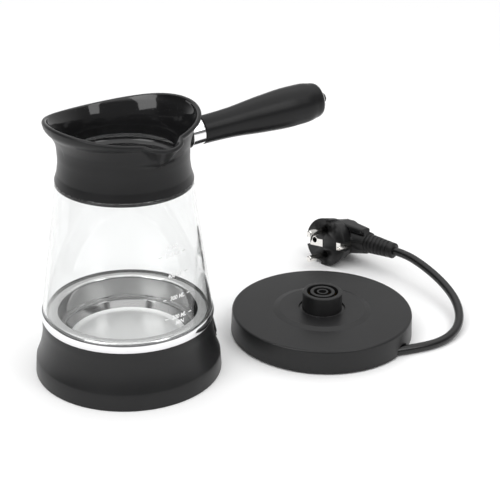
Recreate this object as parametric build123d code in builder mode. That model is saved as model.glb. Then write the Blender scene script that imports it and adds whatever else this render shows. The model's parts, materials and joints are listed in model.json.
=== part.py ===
"""Electric coffee pot with a glass body and a long handle, standing beside its round power base.

All sizes are millimetres. +Z is up and z = 0 is the table. +X runs from the pot towards the base.
"""

import os
from math import asin, cos, degrees, pi, radians, sin, tan

from build123d import *

os.makedirs("parts", exist_ok=True)

# ---------------------------------------------------------------- whole set
POT_FOOT_R = 59.0
BASE_FOOT_R = 60.6
POT_APART_X = 124.7
POT_APART_Y = 49.3
HANDLE_AZIMUTH = 30.0
SPOUT_AZIMUTH = -53.5
FIT = 0.1
RUNNING_FIT = 0.05

# ---------------------------------------------------------------- pot: glass, pan and housing
FOOT_DRAFT = 0.8
HOUSING_FLARE = 5.5
HOUSING_TOP_R = POT_FOOT_R - HOUSING_FLARE
HOUSING_TOP_Z = 36.8
HOUSING_NECK_H = 6.0
HOUSING_THROAT_OUT = 1.0
HOUSING_THROAT_RISE = 11.5
HOUSING_BAND_R = POT_FOOT_R - FOOT_DRAFT
HOUSING_BAND_Z = 10.5
HOUSING_WALL = 2.4
HOUSING_LEDGE = 2.3
FOOT_ROUND = 0.8
COVER_Z = 1.0
COVER_WALL = 1.8
COVER_SCREW_INSET = 8.0
COVER_SCREW_RING_R = POT_FOOT_R - COVER_SCREW_INSET
COVER_BOSS_R = 4.0
COVER_BOSS_TOP = 18.0
SCREW_R = 1.5
SCREW_HEAD_R = 2.8
SCREW_HEAD_H = 1.2
SCREW_L = 9.0

TRIM_PROUD = 0.5
TRIM_R = HOUSING_TOP_R + TRIM_PROUD
TRIM_WALL = 0.8
TRIM_H = 5.5
SHEET = 0.8
PAN_FLOOR_Z = 20.6
PAN_LIP_Z = 42.3
PAN_LIP_R = HOUSING_TOP_R - 4.1
PAN_FLANGE_R = HOUSING_TOP_R - 0.9
PAN_WALL_R = PAN_LIP_R - 6.2
PAN_STEP_R = PAN_WALL_R - 1.6
PAN_STEP_Z = 27.5
PAN_FLOOR_R = PAN_STEP_R - 6.6
PAN_BEND = 1.4
SEAL_H = 1.4
SEAL_W = 2.2

GLASS_INSET = 0.5
GLASS_BOTTOM_R = HOUSING_TOP_R - GLASS_INSET
GLASS_WALL = 2.3
GLASS_SHOULDER_R = 41.9
GLASS_SHOULDER_Z = 128.0
GLASS_NECK_R = 37.4
GLASS_NECK_TOP = GLASS_SHOULDER_Z + 7.5

# ---------------------------------------------------------------- pot: collar with spout
COLLAR_WALL = 2.4
COLLAR_TILT = 2.7
COLLAR_SHIFT = 0.5
LIP_WALL = 2.9
COLLAR_WAIST_R = 39.6
COLLAR_WAIST_Z = GLASS_NECK_TOP + 10.5
COLLAR_LIP_R = 47.0
COLLAR_LIP_Z = COLLAR_WAIST_Z + 20.4
COLLAR_TOP_Z = COLLAR_LIP_Z + 10.6
COLLAR_LEDGE_R = 35.6
COLLAR_LEDGE_Z = GLASS_NECK_TOP + 1.0
RIM_AZIMUTH = 37.5
RIM_R = 46.0
RIM_SIDE_SLOPE = 0.0207
RIM_LOW_Z = COLLAR_LIP_Z - 3.2
RIM_FRONT_Z = RIM_LOW_Z + 4.7
RIM_HANDLE_Z = RIM_LOW_Z + 7.2
SPOUT_KEEL_Z = COLLAR_WAIST_Z - 3.0
SPOUT_KEEL_R = 38.5
SPOUT_KEEL_ROUND = 2.4
SPOUT_TIP_R = 42.8
SPOUT_TIP_ROUND = 12.9
SPOUT_TIP_Z = RIM_LOW_Z - 0.9
SPOUT_REACH = 55.7
SPOUT_FOLD_LEFT = -71.0
SPOUT_FOLD_RIGHT = -36.0
SPOUT_FOLD_LEFT_Z = RIM_LOW_Z + 1.0
SPOUT_FOLD_RIGHT_Z = RIM_LOW_Z + 2.0
SPOUT_WALL = 2.2

# ---------------------------------------------------------------- pot: handle
HANDLE_TILT = 4.8
HANDLE_SEAT_R = 43.0
HANDLE_SEAT_Z = COLLAR_WAIST_Z + 2.9
HANDLE_BOSS_R = 6.2
HANDLE_PAD_R = 8.9
FERRULE_L = 8.5
FERRULE_R = 8.3
GRIP_FRONT_R = 8.7
GRIP_WAIST_R = 9.3
GRIP_MIDDLE_R = 11.5
GRIP_FULL_R = 12.7
GRIP_END_R = 9.2
GRIP_L = 84.6
GRIP_WAIST_S = GRIP_L * 0.248
GRIP_MIDDLE_S = GRIP_L * 0.508
GRIP_FULL_S = GRIP_L * 0.78
GRIP_TAPER_S = GRIP_L * 0.922
ROD_R = 2.4
ROD_HEAD_R = 4.2
ROD_HEAD_H = 3.0
END_POCKET = 9.0
END_CAP_WALL = 1.0
END_CAP_RISE = 3.4
END_PLUG_R = 3.2
END_PLUG_RISE = 2.0

# ---------------------------------------------------------------- pot: heater and connector
SOCKET_R = 13.45
SOCKET_WALL = 2.7
SOCKET_FLANGE_R = 22.0
SOCKET_FLANGE_H = 1.5
SOCKET_ROOF_Z = 13.1
SOCKET_ROOF = 0.7
SOCKET_TIP_Z = 4.4
OUTER_RING_R = 9.5
OUTER_RING_BORE = 8.6
INNER_RING_R = 5.0
INNER_RING_BORE = 4.1
RING_SLEEVE = 0.7
SOCKET_PIN_R = 2.2
SLEEVE_LOW = 5.2
SLEEVE_HIGH = 11.2
HEAT_PLATE_R = PAN_FLOOR_R
HEAT_PLATE_H = 2.4
ELEMENT_RING_R = 21.5
ELEMENT_R = 3.2
ELEMENT_SWEEP = 300.0
ELEMENT_PIN_R = 1.2
ELEMENT_PIN_LOW = 10.5
CUTOUT_RING_R = 31.0
CUTOUT_R = 6.0
CUTOUT_H = 6.0
FUSE_R = 1.9
FUSE_L = 13.0
WIRE_R = 1.0
WIRE_BEND = 4.0

# ---------------------------------------------------------------- pot: switch, under the handle
SWITCH_INSET = 2.4
SWITCH_OUT_R = POT_FOOT_R - SWITCH_INSET
SWITCH_Z = 19.5
SWITCH_LEAN = 14.0
SWITCH_FRAME_W = 13.0
SWITCH_FRAME_H = 19.0
SWITCH_FRAME_T = 1.2
SWITCH_PAD_MARGIN = 1.2
SWITCH_PAD_OUT = 0.4
SWITCH_PAD_DEEP = 3.4
ROCKER_W = 8.6
ROCKER_H = 13.6
ROCKER_GAP = 0.35
ROCKER_UP = 2.0
ROCKER_DISH = 0.9
ROCKER_DOWN = 2.6
ROCKER_REST = 8.0
ROCKER_PIN_R = 1.0
SWITCH_BODY_W = 11.5
SWITCH_BODY_H = 16.6
SWITCH_BODY_D = 9.0
SWITCH_CAVITY_D = 4.8
SWITCH_TAB_L = 2.6
LENS_W = 4.6
LENS_H = 1.8
LENS_T = 0.6

# ---------------------------------------------------------------- power base
SKIRT_DRAFT = 0.6
BASE_TOP_R = BASE_FOOT_R - SKIRT_DRAFT
BASE_TOP_Z = 16.65
BASE_SKIRT_Z = 1.0
BASE_EDGE = 1.6
BASE_WALL = 2.2
PLATEAU_FOOT_R = 32.7
PLATEAU_R = 28.6
PLATEAU_RISE = 1.2
BOTTOM_WALL = 1.5
BASE_FOOT_PAD_R = 5.0
FIXING_INSET = 10.6
BASE_FOOT_RING_R = BASE_FOOT_R - FIXING_INSET
BASE_FOOT_SINK = 0.6
BASE_SCREW_RING_R = BASE_FOOT_R - FIXING_INSET
BASE_BOSS_R = 3.6
BASE_SCREW_START = 45.0
TOWER_R = 13.2
TOWER_RISE = 11.8
TOWER_CHAMFER = 0.8
MOAT_R = 15.4
MOAT_DEPTH = 1.0
TOWER_FLANGE_R = 21.0
TOWER_FLANGE_H = 2.0
TOWER_FOOT_Z = 9.0
TOWER_FOOT_R = 14.0
OUTER_GROOVE_R = 10.4
OUTER_GROOVE_BORE = 8.2
INNER_GROOVE_R = 5.9
INNER_GROOVE_BORE = 3.8
CENTRE_HOLE_R = 2.5
GROOVE_DEPTH = 9.5
CONTACT_WALL = 0.7
CONTACT_LOW = 1.2
CONTACT_H = 4.6
CONTACT_TAB_W = 3.2
CONTACT_TAB_LOW = 5.6
TAB_OPENING = 0.3
CONTACT_AZIMUTHS = (-75.0, -20.0, -55.0)

# ---------------------------------------------------------------- cord and plug
CORD_R = 3.0
NOTCH_W = 8.4
NOTCH_H = 7.6
NOTCH_OUT = 8.0
NOTCH_IN = 9.0
LEAD_RUN = 9.4
SLOT_L = 28.0
SLOT_W = 10.2
SLOT_X = 44.5
SLOT_Y = -32.6
SLOT_TURN = 4.0
CLAMP_L = 19.0
CLAMP_W = 7.0
CLAMP_T = 2.5
CLAMP_SCREW_OUT = 6.6
PLUG_X = 6.9
PLUG_Y = 106.1
PLUG_Z = 17.75
PLUG_R = 17.8
PLUG_SHOULDER_R = 16.0
PLUG_PIN_AZIMUTH = -133.0
PLUG_PIN_RISE = 6.5
PLUG_ROLL = 7.4
PLUG_FACE_T = 11.0
PLUG_CHIN_R = 15.2
PLUG_BACK_W = 21.0
PLUG_BACK_H = 23.0
PLUG_DEPTH = 31.0
GUIDE_W = 4.6
GUIDE_DEPTH = 2.0
GUIDE_ANGLE = 70.0
CORD_BACK = 19.5
ARM_START = 3.0
ARM_END = 25.5
ARM_FULL_R = 11.5
ARM_R = 8.0
BOOT_R = 7.2
BOOT_END_R = 5.6
BOOT_END = 48.5
BOOT_DROOP = 2.0
BOOT_DROOP_START = 22.0
BOOT_RIB = 2.0
BOOT_RIBS = 6
BOOT_SLOT_DEPTH = 1.2
CORD_FIRST_RUN = 11.3
THUMB_START = 3.0
THUMB_END = 24.5
THUMB_FORWARD = 2.5
THUMB_W = 13.0
THUMB_END_W = 9.0
THUMB_H = 6.4
THUMB_END_H = 4.0
THUMB_UP = 11.0
THUMB_END_UP = 8.8
THUMB_ROUND = 1.4
PIN_R = 2.4
PIN_L = 19.0
PIN_SPACING = 19.0
PIN_TIP = 1.0
PIN_SINK = 8.0
CLIP_OUT = 14.4
CLIP_IN = 10.6
CLIP_UP = -1.5
CLIP_W = 5.6
CLIP_T = 0.8
CLIP_L = 12.5
EARTH_PLATE_IN = 2.6
EARTH_HOLE_R = 2.6
EARTH_HOLE_OUT = -10.2
EARTH_TUBE_WALL = 0.5

# ---------------------------------------------------------------- places worked out from the sizes
base_x = (POT_APART_X + POT_FOOT_R - BASE_FOOT_R) / 2
base_y = (POT_APART_Y + POT_FOOT_R - BASE_FOOT_R) / 2
pot_x = base_x - POT_APART_X
pot_y = base_y - POT_APART_Y

pot_floor = Plane(origin=(pot_x, pot_y, 0))
pot_side = Plane(origin=(pot_x, pot_y, 0), x_dir=(1, 0, 0), z_dir=(0, -1, 0))
pot_axis = Axis((pot_x, pot_y, 0), (0, 0, 1))
base_floor = Plane(origin=(base_x, base_y, 0))
base_side = Plane(origin=(base_x, base_y, 0), x_dir=(1, 0, 0), z_dir=(0, -1, 0))
base_axis = Axis((base_x, base_y, 0), (0, 0, 1))


def heading(azimuth):
    """Level unit vector at an angle from +X towards +Y."""
    return Vector(cos(radians(azimuth)), sin(radians(azimuth)), 0)


def bend_radii(points):
    """Largest gentle arc at each inner point of a route."""
    corners = [Vector(*point) for point in points]
    radii = []
    for before, corner, after in zip(corners, corners[1:], corners[2:]):
        run_in = corner - before
        run_out = after - corner
        half_turn = radians(run_in.get_angle(run_out)) / 2
        radii.append(0.45 * min(run_in.length, run_out.length) / tan(half_turn))
    return radii


def around(centre_x, centre_y, ring_r, azimuth, height):
    """Point on a ring round a standing axis."""
    way = heading(azimuth)
    return (centre_x + ring_r * way.X, centre_y + ring_r * way.Y, height)


parts = []


def keep(builder, name):
    """Label a finished piece and put it on the list of pieces to write."""
    builder.part.label = name
    parts.append((name, builder.part))


# ================================================================ pot: heater housing
housing_inner_r = HOUSING_TOP_R - HOUSING_LEDGE
housing_neck_z = HOUSING_TOP_Z - HOUSING_NECK_H
throat_r = HOUSING_TOP_R + HOUSING_THROAT_OUT
cover_top = COVER_Z + COVER_WALL
switch_way = heading(HANDLE_AZIMUTH)
switch_normal = Vector(
    switch_way.X * cos(radians(SWITCH_LEAN)),
    switch_way.Y * cos(radians(SWITCH_LEAN)),
    sin(radians(SWITCH_LEAN)),
)
switch_plane = Plane(
    origin=around(pot_x, pot_y, SWITCH_OUT_R, HANDLE_AZIMUTH, SWITCH_Z),
    x_dir=(-switch_way.Y, switch_way.X, 0),
    z_dir=switch_normal,
)

with BuildPart() as heater_housing:
    with BuildSketch(pot_side):
        with BuildLine():
            Line((POT_FOOT_R - HOUSING_WALL, 0), (POT_FOOT_R, 0))
            Line((POT_FOOT_R, 0), (HOUSING_BAND_R, HOUSING_BAND_Z))
            Spline(
                (HOUSING_BAND_R, HOUSING_BAND_Z),
                (throat_r, HOUSING_BAND_Z + HOUSING_THROAT_RISE),
                (HOUSING_TOP_R, housing_neck_z),
                tangents=((-0.45, 1), (0, 1)),
            )
            Line((HOUSING_TOP_R, housing_neck_z), (HOUSING_TOP_R, HOUSING_TOP_Z))
            Line((HOUSING_TOP_R, HOUSING_TOP_Z), (housing_inner_r, HOUSING_TOP_Z))
            Line((housing_inner_r, HOUSING_TOP_Z), (housing_inner_r, housing_neck_z))
            Spline(
                (housing_inner_r, housing_neck_z),
                (throat_r - HOUSING_WALL, HOUSING_BAND_Z + HOUSING_THROAT_RISE),
                (HOUSING_BAND_R - HOUSING_WALL, HOUSING_BAND_Z),
                tangents=((0, -1), (0.45, -1)),
            )
            Line((HOUSING_BAND_R - HOUSING_WALL, HOUSING_BAND_Z), (POT_FOOT_R - HOUSING_WALL, 0))
        make_face()
    revolve(axis=pot_axis)
    foot_edges = heater_housing.edges().group_by(Axis.Z)[0]
    chamfer(foot_edges, FOOT_ROUND / 2)
    # Bosses that take the cover's screws, standing against the wall.
    with BuildSketch(pot_floor.offset(cover_top)):
        with PolarLocations(COVER_SCREW_RING_R, 3, start_angle=HANDLE_AZIMUTH + 60):
            Circle(COVER_BOSS_R)
    extrude(amount=COVER_BOSS_TOP - cover_top)
    with BuildSketch(pot_floor.offset(cover_top)):
        with PolarLocations(COVER_SCREW_RING_R, 3, start_angle=HANDLE_AZIMUTH + 60):
            Circle(SCREW_R + FIT / 2)
    extrude(amount=SCREW_L, mode=Mode.SUBTRACT)
    # Flat pad and window of the switch.
    with BuildSketch(switch_plane.offset(SWITCH_PAD_OUT)):
        Rectangle(
            SWITCH_FRAME_W + 2 * SWITCH_PAD_MARGIN,
            SWITCH_FRAME_H + 2 * SWITCH_PAD_MARGIN,
        )
    extrude(amount=-SWITCH_PAD_DEEP)
    with BuildSketch(switch_plane.offset(SWITCH_PAD_OUT)):
        Rectangle(SWITCH_BODY_W + 2 * FIT, SWITCH_BODY_H + 2 * FIT)
    extrude(amount=-SWITCH_PAD_DEEP - HOUSING_WALL, mode=Mode.SUBTRACT)
keep(heater_housing, "heater_housing")

with BuildPart() as bottom_cover:
    with BuildSketch(pot_floor.offset(COVER_Z)):
        Circle(POT_FOOT_R - HOUSING_WALL - FIT - FOOT_ROUND)
        Circle(SOCKET_R + SOCKET_WALL + FIT, mode=Mode.SUBTRACT)
        with PolarLocations(COVER_SCREW_RING_R, 3, start_angle=HANDLE_AZIMUTH + 60):
            Circle(SCREW_R + FIT, mode=Mode.SUBTRACT)
    extrude(amount=COVER_WALL)
keep(bottom_cover, "bottom_cover")

with BuildPart() as cover_screws:
    with BuildSketch(pot_floor.offset(COVER_Z)):
        with PolarLocations(COVER_SCREW_RING_R, 3, start_angle=HANDLE_AZIMUTH + 60):
            Circle(SCREW_R)
    extrude(amount=SCREW_L)
    with BuildSketch(pot_floor.offset(COVER_Z)):
        with PolarLocations(COVER_SCREW_RING_R, 3, start_angle=HANDLE_AZIMUTH + 60):
            Circle(SCREW_HEAD_R)
    extrude(amount=-SCREW_HEAD_H / 2)
keep(cover_screws, "cover_screws")

# ================================================================ pot: pan, seal, trim ring and glass
flange_z = HOUSING_TOP_Z
pan_path = (
    (0, PAN_FLOOR_Z - SHEET / 2),
    (PAN_FLOOR_R, PAN_FLOOR_Z - SHEET / 2),
    (PAN_STEP_R, PAN_STEP_Z - 2.0),
    (PAN_STEP_R + SHEET / 2, PAN_STEP_Z),
    (PAN_WALL_R + SHEET / 2, PAN_STEP_Z + 0.6),
    (PAN_WALL_R + SHEET / 2, PAN_LIP_Z - SHEET / 2),
    (PAN_LIP_R, PAN_LIP_Z - SHEET),
    (PAN_LIP_R, flange_z + SHEET / 2),
    (PAN_FLANGE_R, flange_z + SHEET / 2),
)
pan_bends = (6.0, 1.6, 0.5, 0.5, PAN_BEND, PAN_BEND, PAN_BEND)

with BuildPart() as heating_pan:
    with BuildSketch(pot_side):
        with BuildLine():
            FilletPolyline(*pan_path, radius=pan_bends)
        trace(line_width=SHEET)
        # The sheet's square end at the axis is cut flush with it.
        with Locations((-SHEET, PAN_FLOOR_Z)):
            Rectangle(2 * SHEET, 4 * SHEET, mode=Mode.SUBTRACT)
    revolve(axis=pot_axis)
keep(heating_pan, "heating_pan")

seal_low = flange_z + SHEET
glass_bottom = seal_low + SEAL_H

with BuildPart() as pan_seal:
    with BuildSketch(pot_floor.offset(seal_low)):
        Circle(GLASS_BOTTOM_R)
        Circle(GLASS_BOTTOM_R - SEAL_W, mode=Mode.SUBTRACT)
    extrude(amount=SEAL_H)
keep(pan_seal, "pan_seal")

with BuildPart() as trim_ring:
    with BuildSketch(pot_floor.offset(HOUSING_TOP_Z)):
        Circle(TRIM_R)
        Circle(TRIM_R - TRIM_WALL, mode=Mode.SUBTRACT)
    extrude(amount=TRIM_H)
    fillet(trim_ring.edges().group_by(Axis.Z)[-1], TRIM_WALL * 0.4)
keep(trim_ring, "trim_ring")

glass_curve = (
    (GLASS_BOTTOM_R, glass_bottom + 4.0),
    (GLASS_BOTTOM_R - 5.9, GLASS_SHOULDER_Z - 41.0),
    (GLASS_SHOULDER_R + 1.5, GLASS_SHOULDER_Z - 14.5),
    (GLASS_SHOULDER_R, GLASS_SHOULDER_Z),
)
glass_inner = [(radius - GLASS_WALL, height) for radius, height in reversed(glass_curve)]
glass_inner[0] = (GLASS_SHOULDER_R - GLASS_WALL - 1.4, GLASS_SHOULDER_Z - 1.5)

with BuildPart() as glass_body:
    with BuildSketch(pot_side):
        with BuildLine():
            Line((GLASS_BOTTOM_R - SEAL_W, glass_bottom), (GLASS_BOTTOM_R, glass_bottom))
            Line((GLASS_BOTTOM_R, glass_bottom), glass_curve[0])
            Spline(*glass_curve, tangents=((-0.12, 1), (-0.08, 1)))
            Polyline(
                (GLASS_SHOULDER_R, GLASS_SHOULDER_Z),
                (GLASS_NECK_R, GLASS_SHOULDER_Z),
                (GLASS_NECK_R, GLASS_NECK_TOP),
                (GLASS_NECK_R - GLASS_WALL, GLASS_NECK_TOP),
                (GLASS_NECK_R - GLASS_WALL, GLASS_SHOULDER_Z + 1.0),
                glass_inner[0],
            )
            Spline(*glass_inner, tangents=((0.6, -1), (0.12, -1)))
            Line(glass_inner[-1], (GLASS_BOTTOM_R - SEAL_W, glass_bottom))
        make_face()
    revolve(axis=pot_axis)
keep(glass_body, "glass_body")

with BuildPart() as collar_seal:
    with BuildSketch(pot_floor.offset(GLASS_NECK_TOP)):
        Circle(GLASS_NECK_R)
        Circle(GLASS_NECK_R - GLASS_WALL + FIT, mode=Mode.SUBTRACT)
    extrude(amount=COLLAR_LEDGE_Z - GLASS_NECK_TOP)
keep(collar_seal, "collar_seal")

# ================================================================ pot: collar with pouring spout
handle_level = heading(HANDLE_AZIMUTH)
spout_level = heading(SPOUT_AZIMUTH)


def leaning(height, share):
    """Plane across the pot's axis that rises towards the handle by a share of the collar's lean."""
    lean = radians(COLLAR_TILT * share)
    return Plane(
        origin=(
            pot_x - COLLAR_SHIFT * share * handle_level.X,
            pot_y - COLLAR_SHIFT * share * handle_level.Y,
            height,
        ),
        x_dir=(handle_level.X * cos(lean), handle_level.Y * cos(lean), sin(lean)),
        z_dir=(-handle_level.X * sin(lean), -handle_level.Y * sin(lean), cos(lean)),
    )


# Height, outer radius and share of the lean, from the glass to above the rim.
collar_outside = (
    (GLASS_SHOULDER_Z, GLASS_SHOULDER_R + 0.2, 0.0),
    (GLASS_SHOULDER_Z + 5.0, COLLAR_WAIST_R + 0.9, 0.0),
    (COLLAR_WAIST_Z - 3.0, COLLAR_WAIST_R, 0.0),
    (COLLAR_WAIST_Z + 7.0, COLLAR_WAIST_R + 0.7, 0.3),
    (COLLAR_LIP_Z - 5.6, COLLAR_LIP_R - 3.7, 0.8),
    (COLLAR_LIP_Z - 0.4, COLLAR_LIP_R - 0.1, 1.0),
    (COLLAR_TOP_Z, COLLAR_LIP_R + 0.4, 1.0),
)
# The same inside, from the ledge that holds the glass down.
collar_inside = (
    (COLLAR_LEDGE_Z - 0.5, COLLAR_LEDGE_R, 0.0),
    (COLLAR_WAIST_Z - 3.0, COLLAR_WAIST_R - COLLAR_WALL - 0.5, 0.0),
    (COLLAR_WAIST_Z + 7.0, COLLAR_WAIST_R + 0.7 - COLLAR_WALL, 0.3),
    (COLLAR_LIP_Z - 5.6, COLLAR_LIP_R - 3.7 - COLLAR_WALL, 0.8),
    (COLLAR_LIP_Z - 0.4, COLLAR_LIP_R - 0.1 - LIP_WALL, 1.0),
    (COLLAR_TOP_Z + 0.5, COLLAR_LIP_R + 0.4 - LIP_WALL, 1.0),
)
spout_top_share = (COLLAR_TOP_Z - SPOUT_KEEL_Z) / (RIM_LOW_Z - SPOUT_KEEL_Z)
spout_top_r = SPOUT_KEEL_R + (SPOUT_TIP_R - SPOUT_KEEL_R) * spout_top_share
spout_top_round = SPOUT_KEEL_ROUND + (SPOUT_TIP_ROUND - SPOUT_KEEL_ROUND) * spout_top_share
spout_floor = Plane(
    origin=(pot_x, pot_y, 0), x_dir=(spout_level.X, spout_level.Y, 0), z_dir=(0, 0, 1)
)
rim_level = heading(RIM_AZIMUTH)
rim_side = Plane(
    origin=(pot_x, pot_y, 0),
    x_dir=(rim_level.X, rim_level.Y, 0),
    z_dir=(rim_level.Y, -rim_level.X, RIM_SIDE_SLOPE),
)
fold_left = Vector(*around(pot_x, pot_y, RIM_R, SPOUT_FOLD_LEFT, SPOUT_FOLD_LEFT_Z))
fold_right = Vector(*around(pot_x, pot_y, RIM_R, SPOUT_FOLD_RIGHT, SPOUT_FOLD_RIGHT_Z))
spout_tip = Vector(*around(pot_x, pot_y, SPOUT_REACH, SPOUT_AZIMUTH, SPOUT_TIP_Z))
fold_way = (fold_left - fold_right).normalized()
spout_dip = Plane(
    origin=(fold_left + fold_right) * 0.5,
    x_dir=fold_way,
    z_dir=fold_way.cross(spout_tip - fold_right).normalized(),
)
handle_lean = radians(HANDLE_TILT)
handle_way = Vector(
    handle_level.X * cos(handle_lean), handle_level.Y * cos(handle_lean), sin(handle_lean)
)
handle_seat = around(pot_x, pot_y, HANDLE_SEAT_R, HANDLE_AZIMUTH, HANDLE_SEAT_Z)
handle_side = Plane(
    origin=handle_seat, x_dir=handle_way, z_dir=(handle_level.Y, -handle_level.X, 0)
)
handle_across = Plane(origin=handle_seat, z_dir=handle_way)
handle_axis = Axis(handle_seat, handle_way)

with BuildPart() as collar:
    for height, radius, share in collar_outside:
        with BuildSketch(leaning(height, share)):
            Circle(radius)
    loft()
    # Beak of the spout, growing from the wall.
    with BuildSketch(spout_floor.offset(SPOUT_KEEL_Z)):
        with Locations((SPOUT_KEEL_R - SPOUT_KEEL_ROUND / 2, 0)):
            Circle(SPOUT_KEEL_ROUND)
    with BuildSketch(spout_floor.offset(COLLAR_TOP_Z)):
        with Locations((spout_top_r, 0)):
            Circle(spout_top_round)
    loft()
    # Round pad and boss that carry the handle.
    with BuildSketch(handle_across.offset(-COLLAR_WALL * 2)):
        Circle(HANDLE_PAD_R)
    extrude(amount=COLLAR_WALL * 2)
    with BuildSketch(handle_across):
        Circle(HANDLE_BOSS_R)
    extrude(amount=FERRULE_L - FIT)
    # Inside of the neck.
    for height, radius, share in collar_inside:
        with BuildSketch(leaning(height, share)):
            Circle(radius)
    loft(mode=Mode.SUBTRACT)
    with BuildSketch(pot_floor.offset(GLASS_SHOULDER_Z)):
        Circle(GLASS_NECK_R + FIT)
    extrude(amount=COLLAR_LEDGE_Z - GLASS_SHOULDER_Z, mode=Mode.SUBTRACT)
    # Channel of the spout.
    with BuildSketch(spout_floor.offset(SPOUT_KEEL_Z + 2 * SPOUT_WALL)):
        with Locations((SPOUT_KEEL_R - SPOUT_KEEL_ROUND, 0)):
            Circle(SPOUT_KEEL_ROUND)
    with BuildSketch(spout_floor.offset(COLLAR_TOP_Z + 1)):
        with Locations((spout_top_r, 0)):
            Circle(spout_top_round - SPOUT_WALL)
    loft(mode=Mode.SUBTRACT)
    # The rim is low at the spout and rises to both sides of it.
    with BuildSketch(rim_side):
        with BuildLine():
            ThreePointArc((-RIM_R, RIM_FRONT_Z), (0, RIM_LOW_Z), (RIM_R, RIM_HANDLE_Z))
            Polyline(
                (RIM_R, RIM_HANDLE_Z),
                (RIM_R + 20, RIM_HANDLE_Z + 7),
                (RIM_R + 20, COLLAR_TOP_Z + 20),
                (-RIM_R - 20, COLLAR_TOP_Z + 20),
                (-RIM_R - 20, RIM_FRONT_Z + 5),
                (-RIM_R, RIM_FRONT_Z),
            )
        make_face()
    extrude(amount=2 * COLLAR_LIP_R, both=True, mode=Mode.SUBTRACT)
    with BuildSketch(spout_dip):
        with Locations((0, SPOUT_REACH / 2)):
            Rectangle(SPOUT_REACH, SPOUT_REACH)
    extrude(amount=RIM_R / 2, mode=Mode.SUBTRACT)
    # Threaded hole of the handle's rod.
    with BuildSketch(handle_across.offset(FERRULE_L)):
        Circle(ROD_R)
    extrude(amount=-FERRULE_L - COLLAR_WALL, mode=Mode.SUBTRACT)
keep(collar, "collar")

# ================================================================ pot: handle
with BuildPart() as handle_ferrule:
    with BuildSketch(handle_across):
        Circle(FERRULE_R)
        Circle(HANDLE_BOSS_R + FIT, mode=Mode.SUBTRACT)
    extrude(amount=FERRULE_L)
    fillet(handle_ferrule.faces().filter_by(GeomType.PLANE).edges(), 0.3)
keep(handle_ferrule, "handle_ferrule")

grip_start = FERRULE_L
grip_end = FERRULE_L + GRIP_L

with BuildPart() as handle_grip:
    with BuildSketch(handle_side):
        with BuildLine():
            Line((grip_start, 0), (grip_start, GRIP_FRONT_R - 0.5))
            Line((grip_start, GRIP_FRONT_R - 0.5), (grip_start + 0.5, GRIP_FRONT_R))
            Spline(
                (grip_start + 0.5, GRIP_FRONT_R),
                (grip_start + GRIP_WAIST_S, GRIP_WAIST_R),
                (grip_start + GRIP_MIDDLE_S, GRIP_MIDDLE_R),
                (grip_start + GRIP_FULL_S, GRIP_FULL_R),
                (grip_start + GRIP_TAPER_S, GRIP_FULL_R - 0.9),
                (grip_end, GRIP_END_R),
                tangents=((1, 0), (0.45, -1)),
            )
            Line((grip_end, GRIP_END_R), (grip_end, 0))
            Line((grip_end, 0), (grip_start, 0))
        make_face()
    revolve(axis=handle_axis)
    with BuildSketch(handle_across.offset(grip_start)):
        Circle(ROD_R + FIT)
    extrude(amount=GRIP_L, mode=Mode.SUBTRACT)
    with BuildSketch(handle_across.offset(grip_end)):
        Circle(ROD_HEAD_R + 2 * FIT)
    extrude(amount=-END_POCKET, mode=Mode.SUBTRACT)
keep(handle_grip, "handle_grip")

rod_seat = grip_end - END_POCKET
with BuildPart() as handle_rod:
    with BuildSketch(handle_across.offset(rod_seat)):
        Circle(ROD_R)
    extrude(amount=-rod_seat - COLLAR_WALL + FIT)
    with BuildSketch(handle_across.offset(rod_seat)):
        Circle(ROD_HEAD_R)
    extrude(amount=ROD_HEAD_H)
    with BuildSketch(handle_across.offset(rod_seat + ROD_HEAD_H)):
        RegularPolygon(ROD_R * 0.8, 6)
    extrude(amount=-ROD_HEAD_H * 0.6, mode=Mode.SUBTRACT)
keep(handle_rod, "handle_rod")

cap_r = GRIP_END_R - 0.2
cap_dome_r = (cap_r**2 + END_CAP_RISE**2) / (2 * END_CAP_RISE)
cap_dome_arc = degrees(asin(cap_r / cap_dome_r))
with BuildPart() as handle_end_cap:
    with BuildSketch(handle_side):
        with BuildLine():
            CenterArc((grip_end + END_CAP_RISE - cap_dome_r, 0), cap_dome_r, 0, cap_dome_arc)
            Line((grip_end, cap_r), (grip_end, 0))
            Line((grip_end, 0), (grip_end + END_CAP_RISE, 0))
        make_face()
    revolve(axis=handle_axis)
    with BuildSketch(handle_across.offset(grip_end)):
        Circle(ROD_HEAD_R)
    extrude(amount=-END_CAP_WALL * 3)
    with BuildSketch(handle_across.offset(grip_end - END_CAP_WALL * 3)):
        Circle(END_PLUG_R + FIT)
    extrude(amount=END_CAP_WALL * 3 + END_CAP_RISE, mode=Mode.SUBTRACT)
keep(handle_end_cap, "handle_end_cap")

with BuildPart() as handle_plug:
    with BuildSketch(handle_across.offset(grip_end - END_CAP_WALL * 3)):
        Circle(END_PLUG_R)
    extrude(amount=END_CAP_WALL * 3 + END_CAP_RISE + END_PLUG_RISE)
    plug_end = handle_plug.faces().sort_by(Axis(handle_seat, handle_way))[-1]
    fillet(plug_end.edges(), END_PLUG_RISE * 0.8)
keep(handle_plug, "handle_plug")

# ================================================================ pot: cordless socket
socket_outer_r = SOCKET_R + SOCKET_WALL
socket_top = SOCKET_ROOF_Z + SOCKET_ROOF

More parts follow.
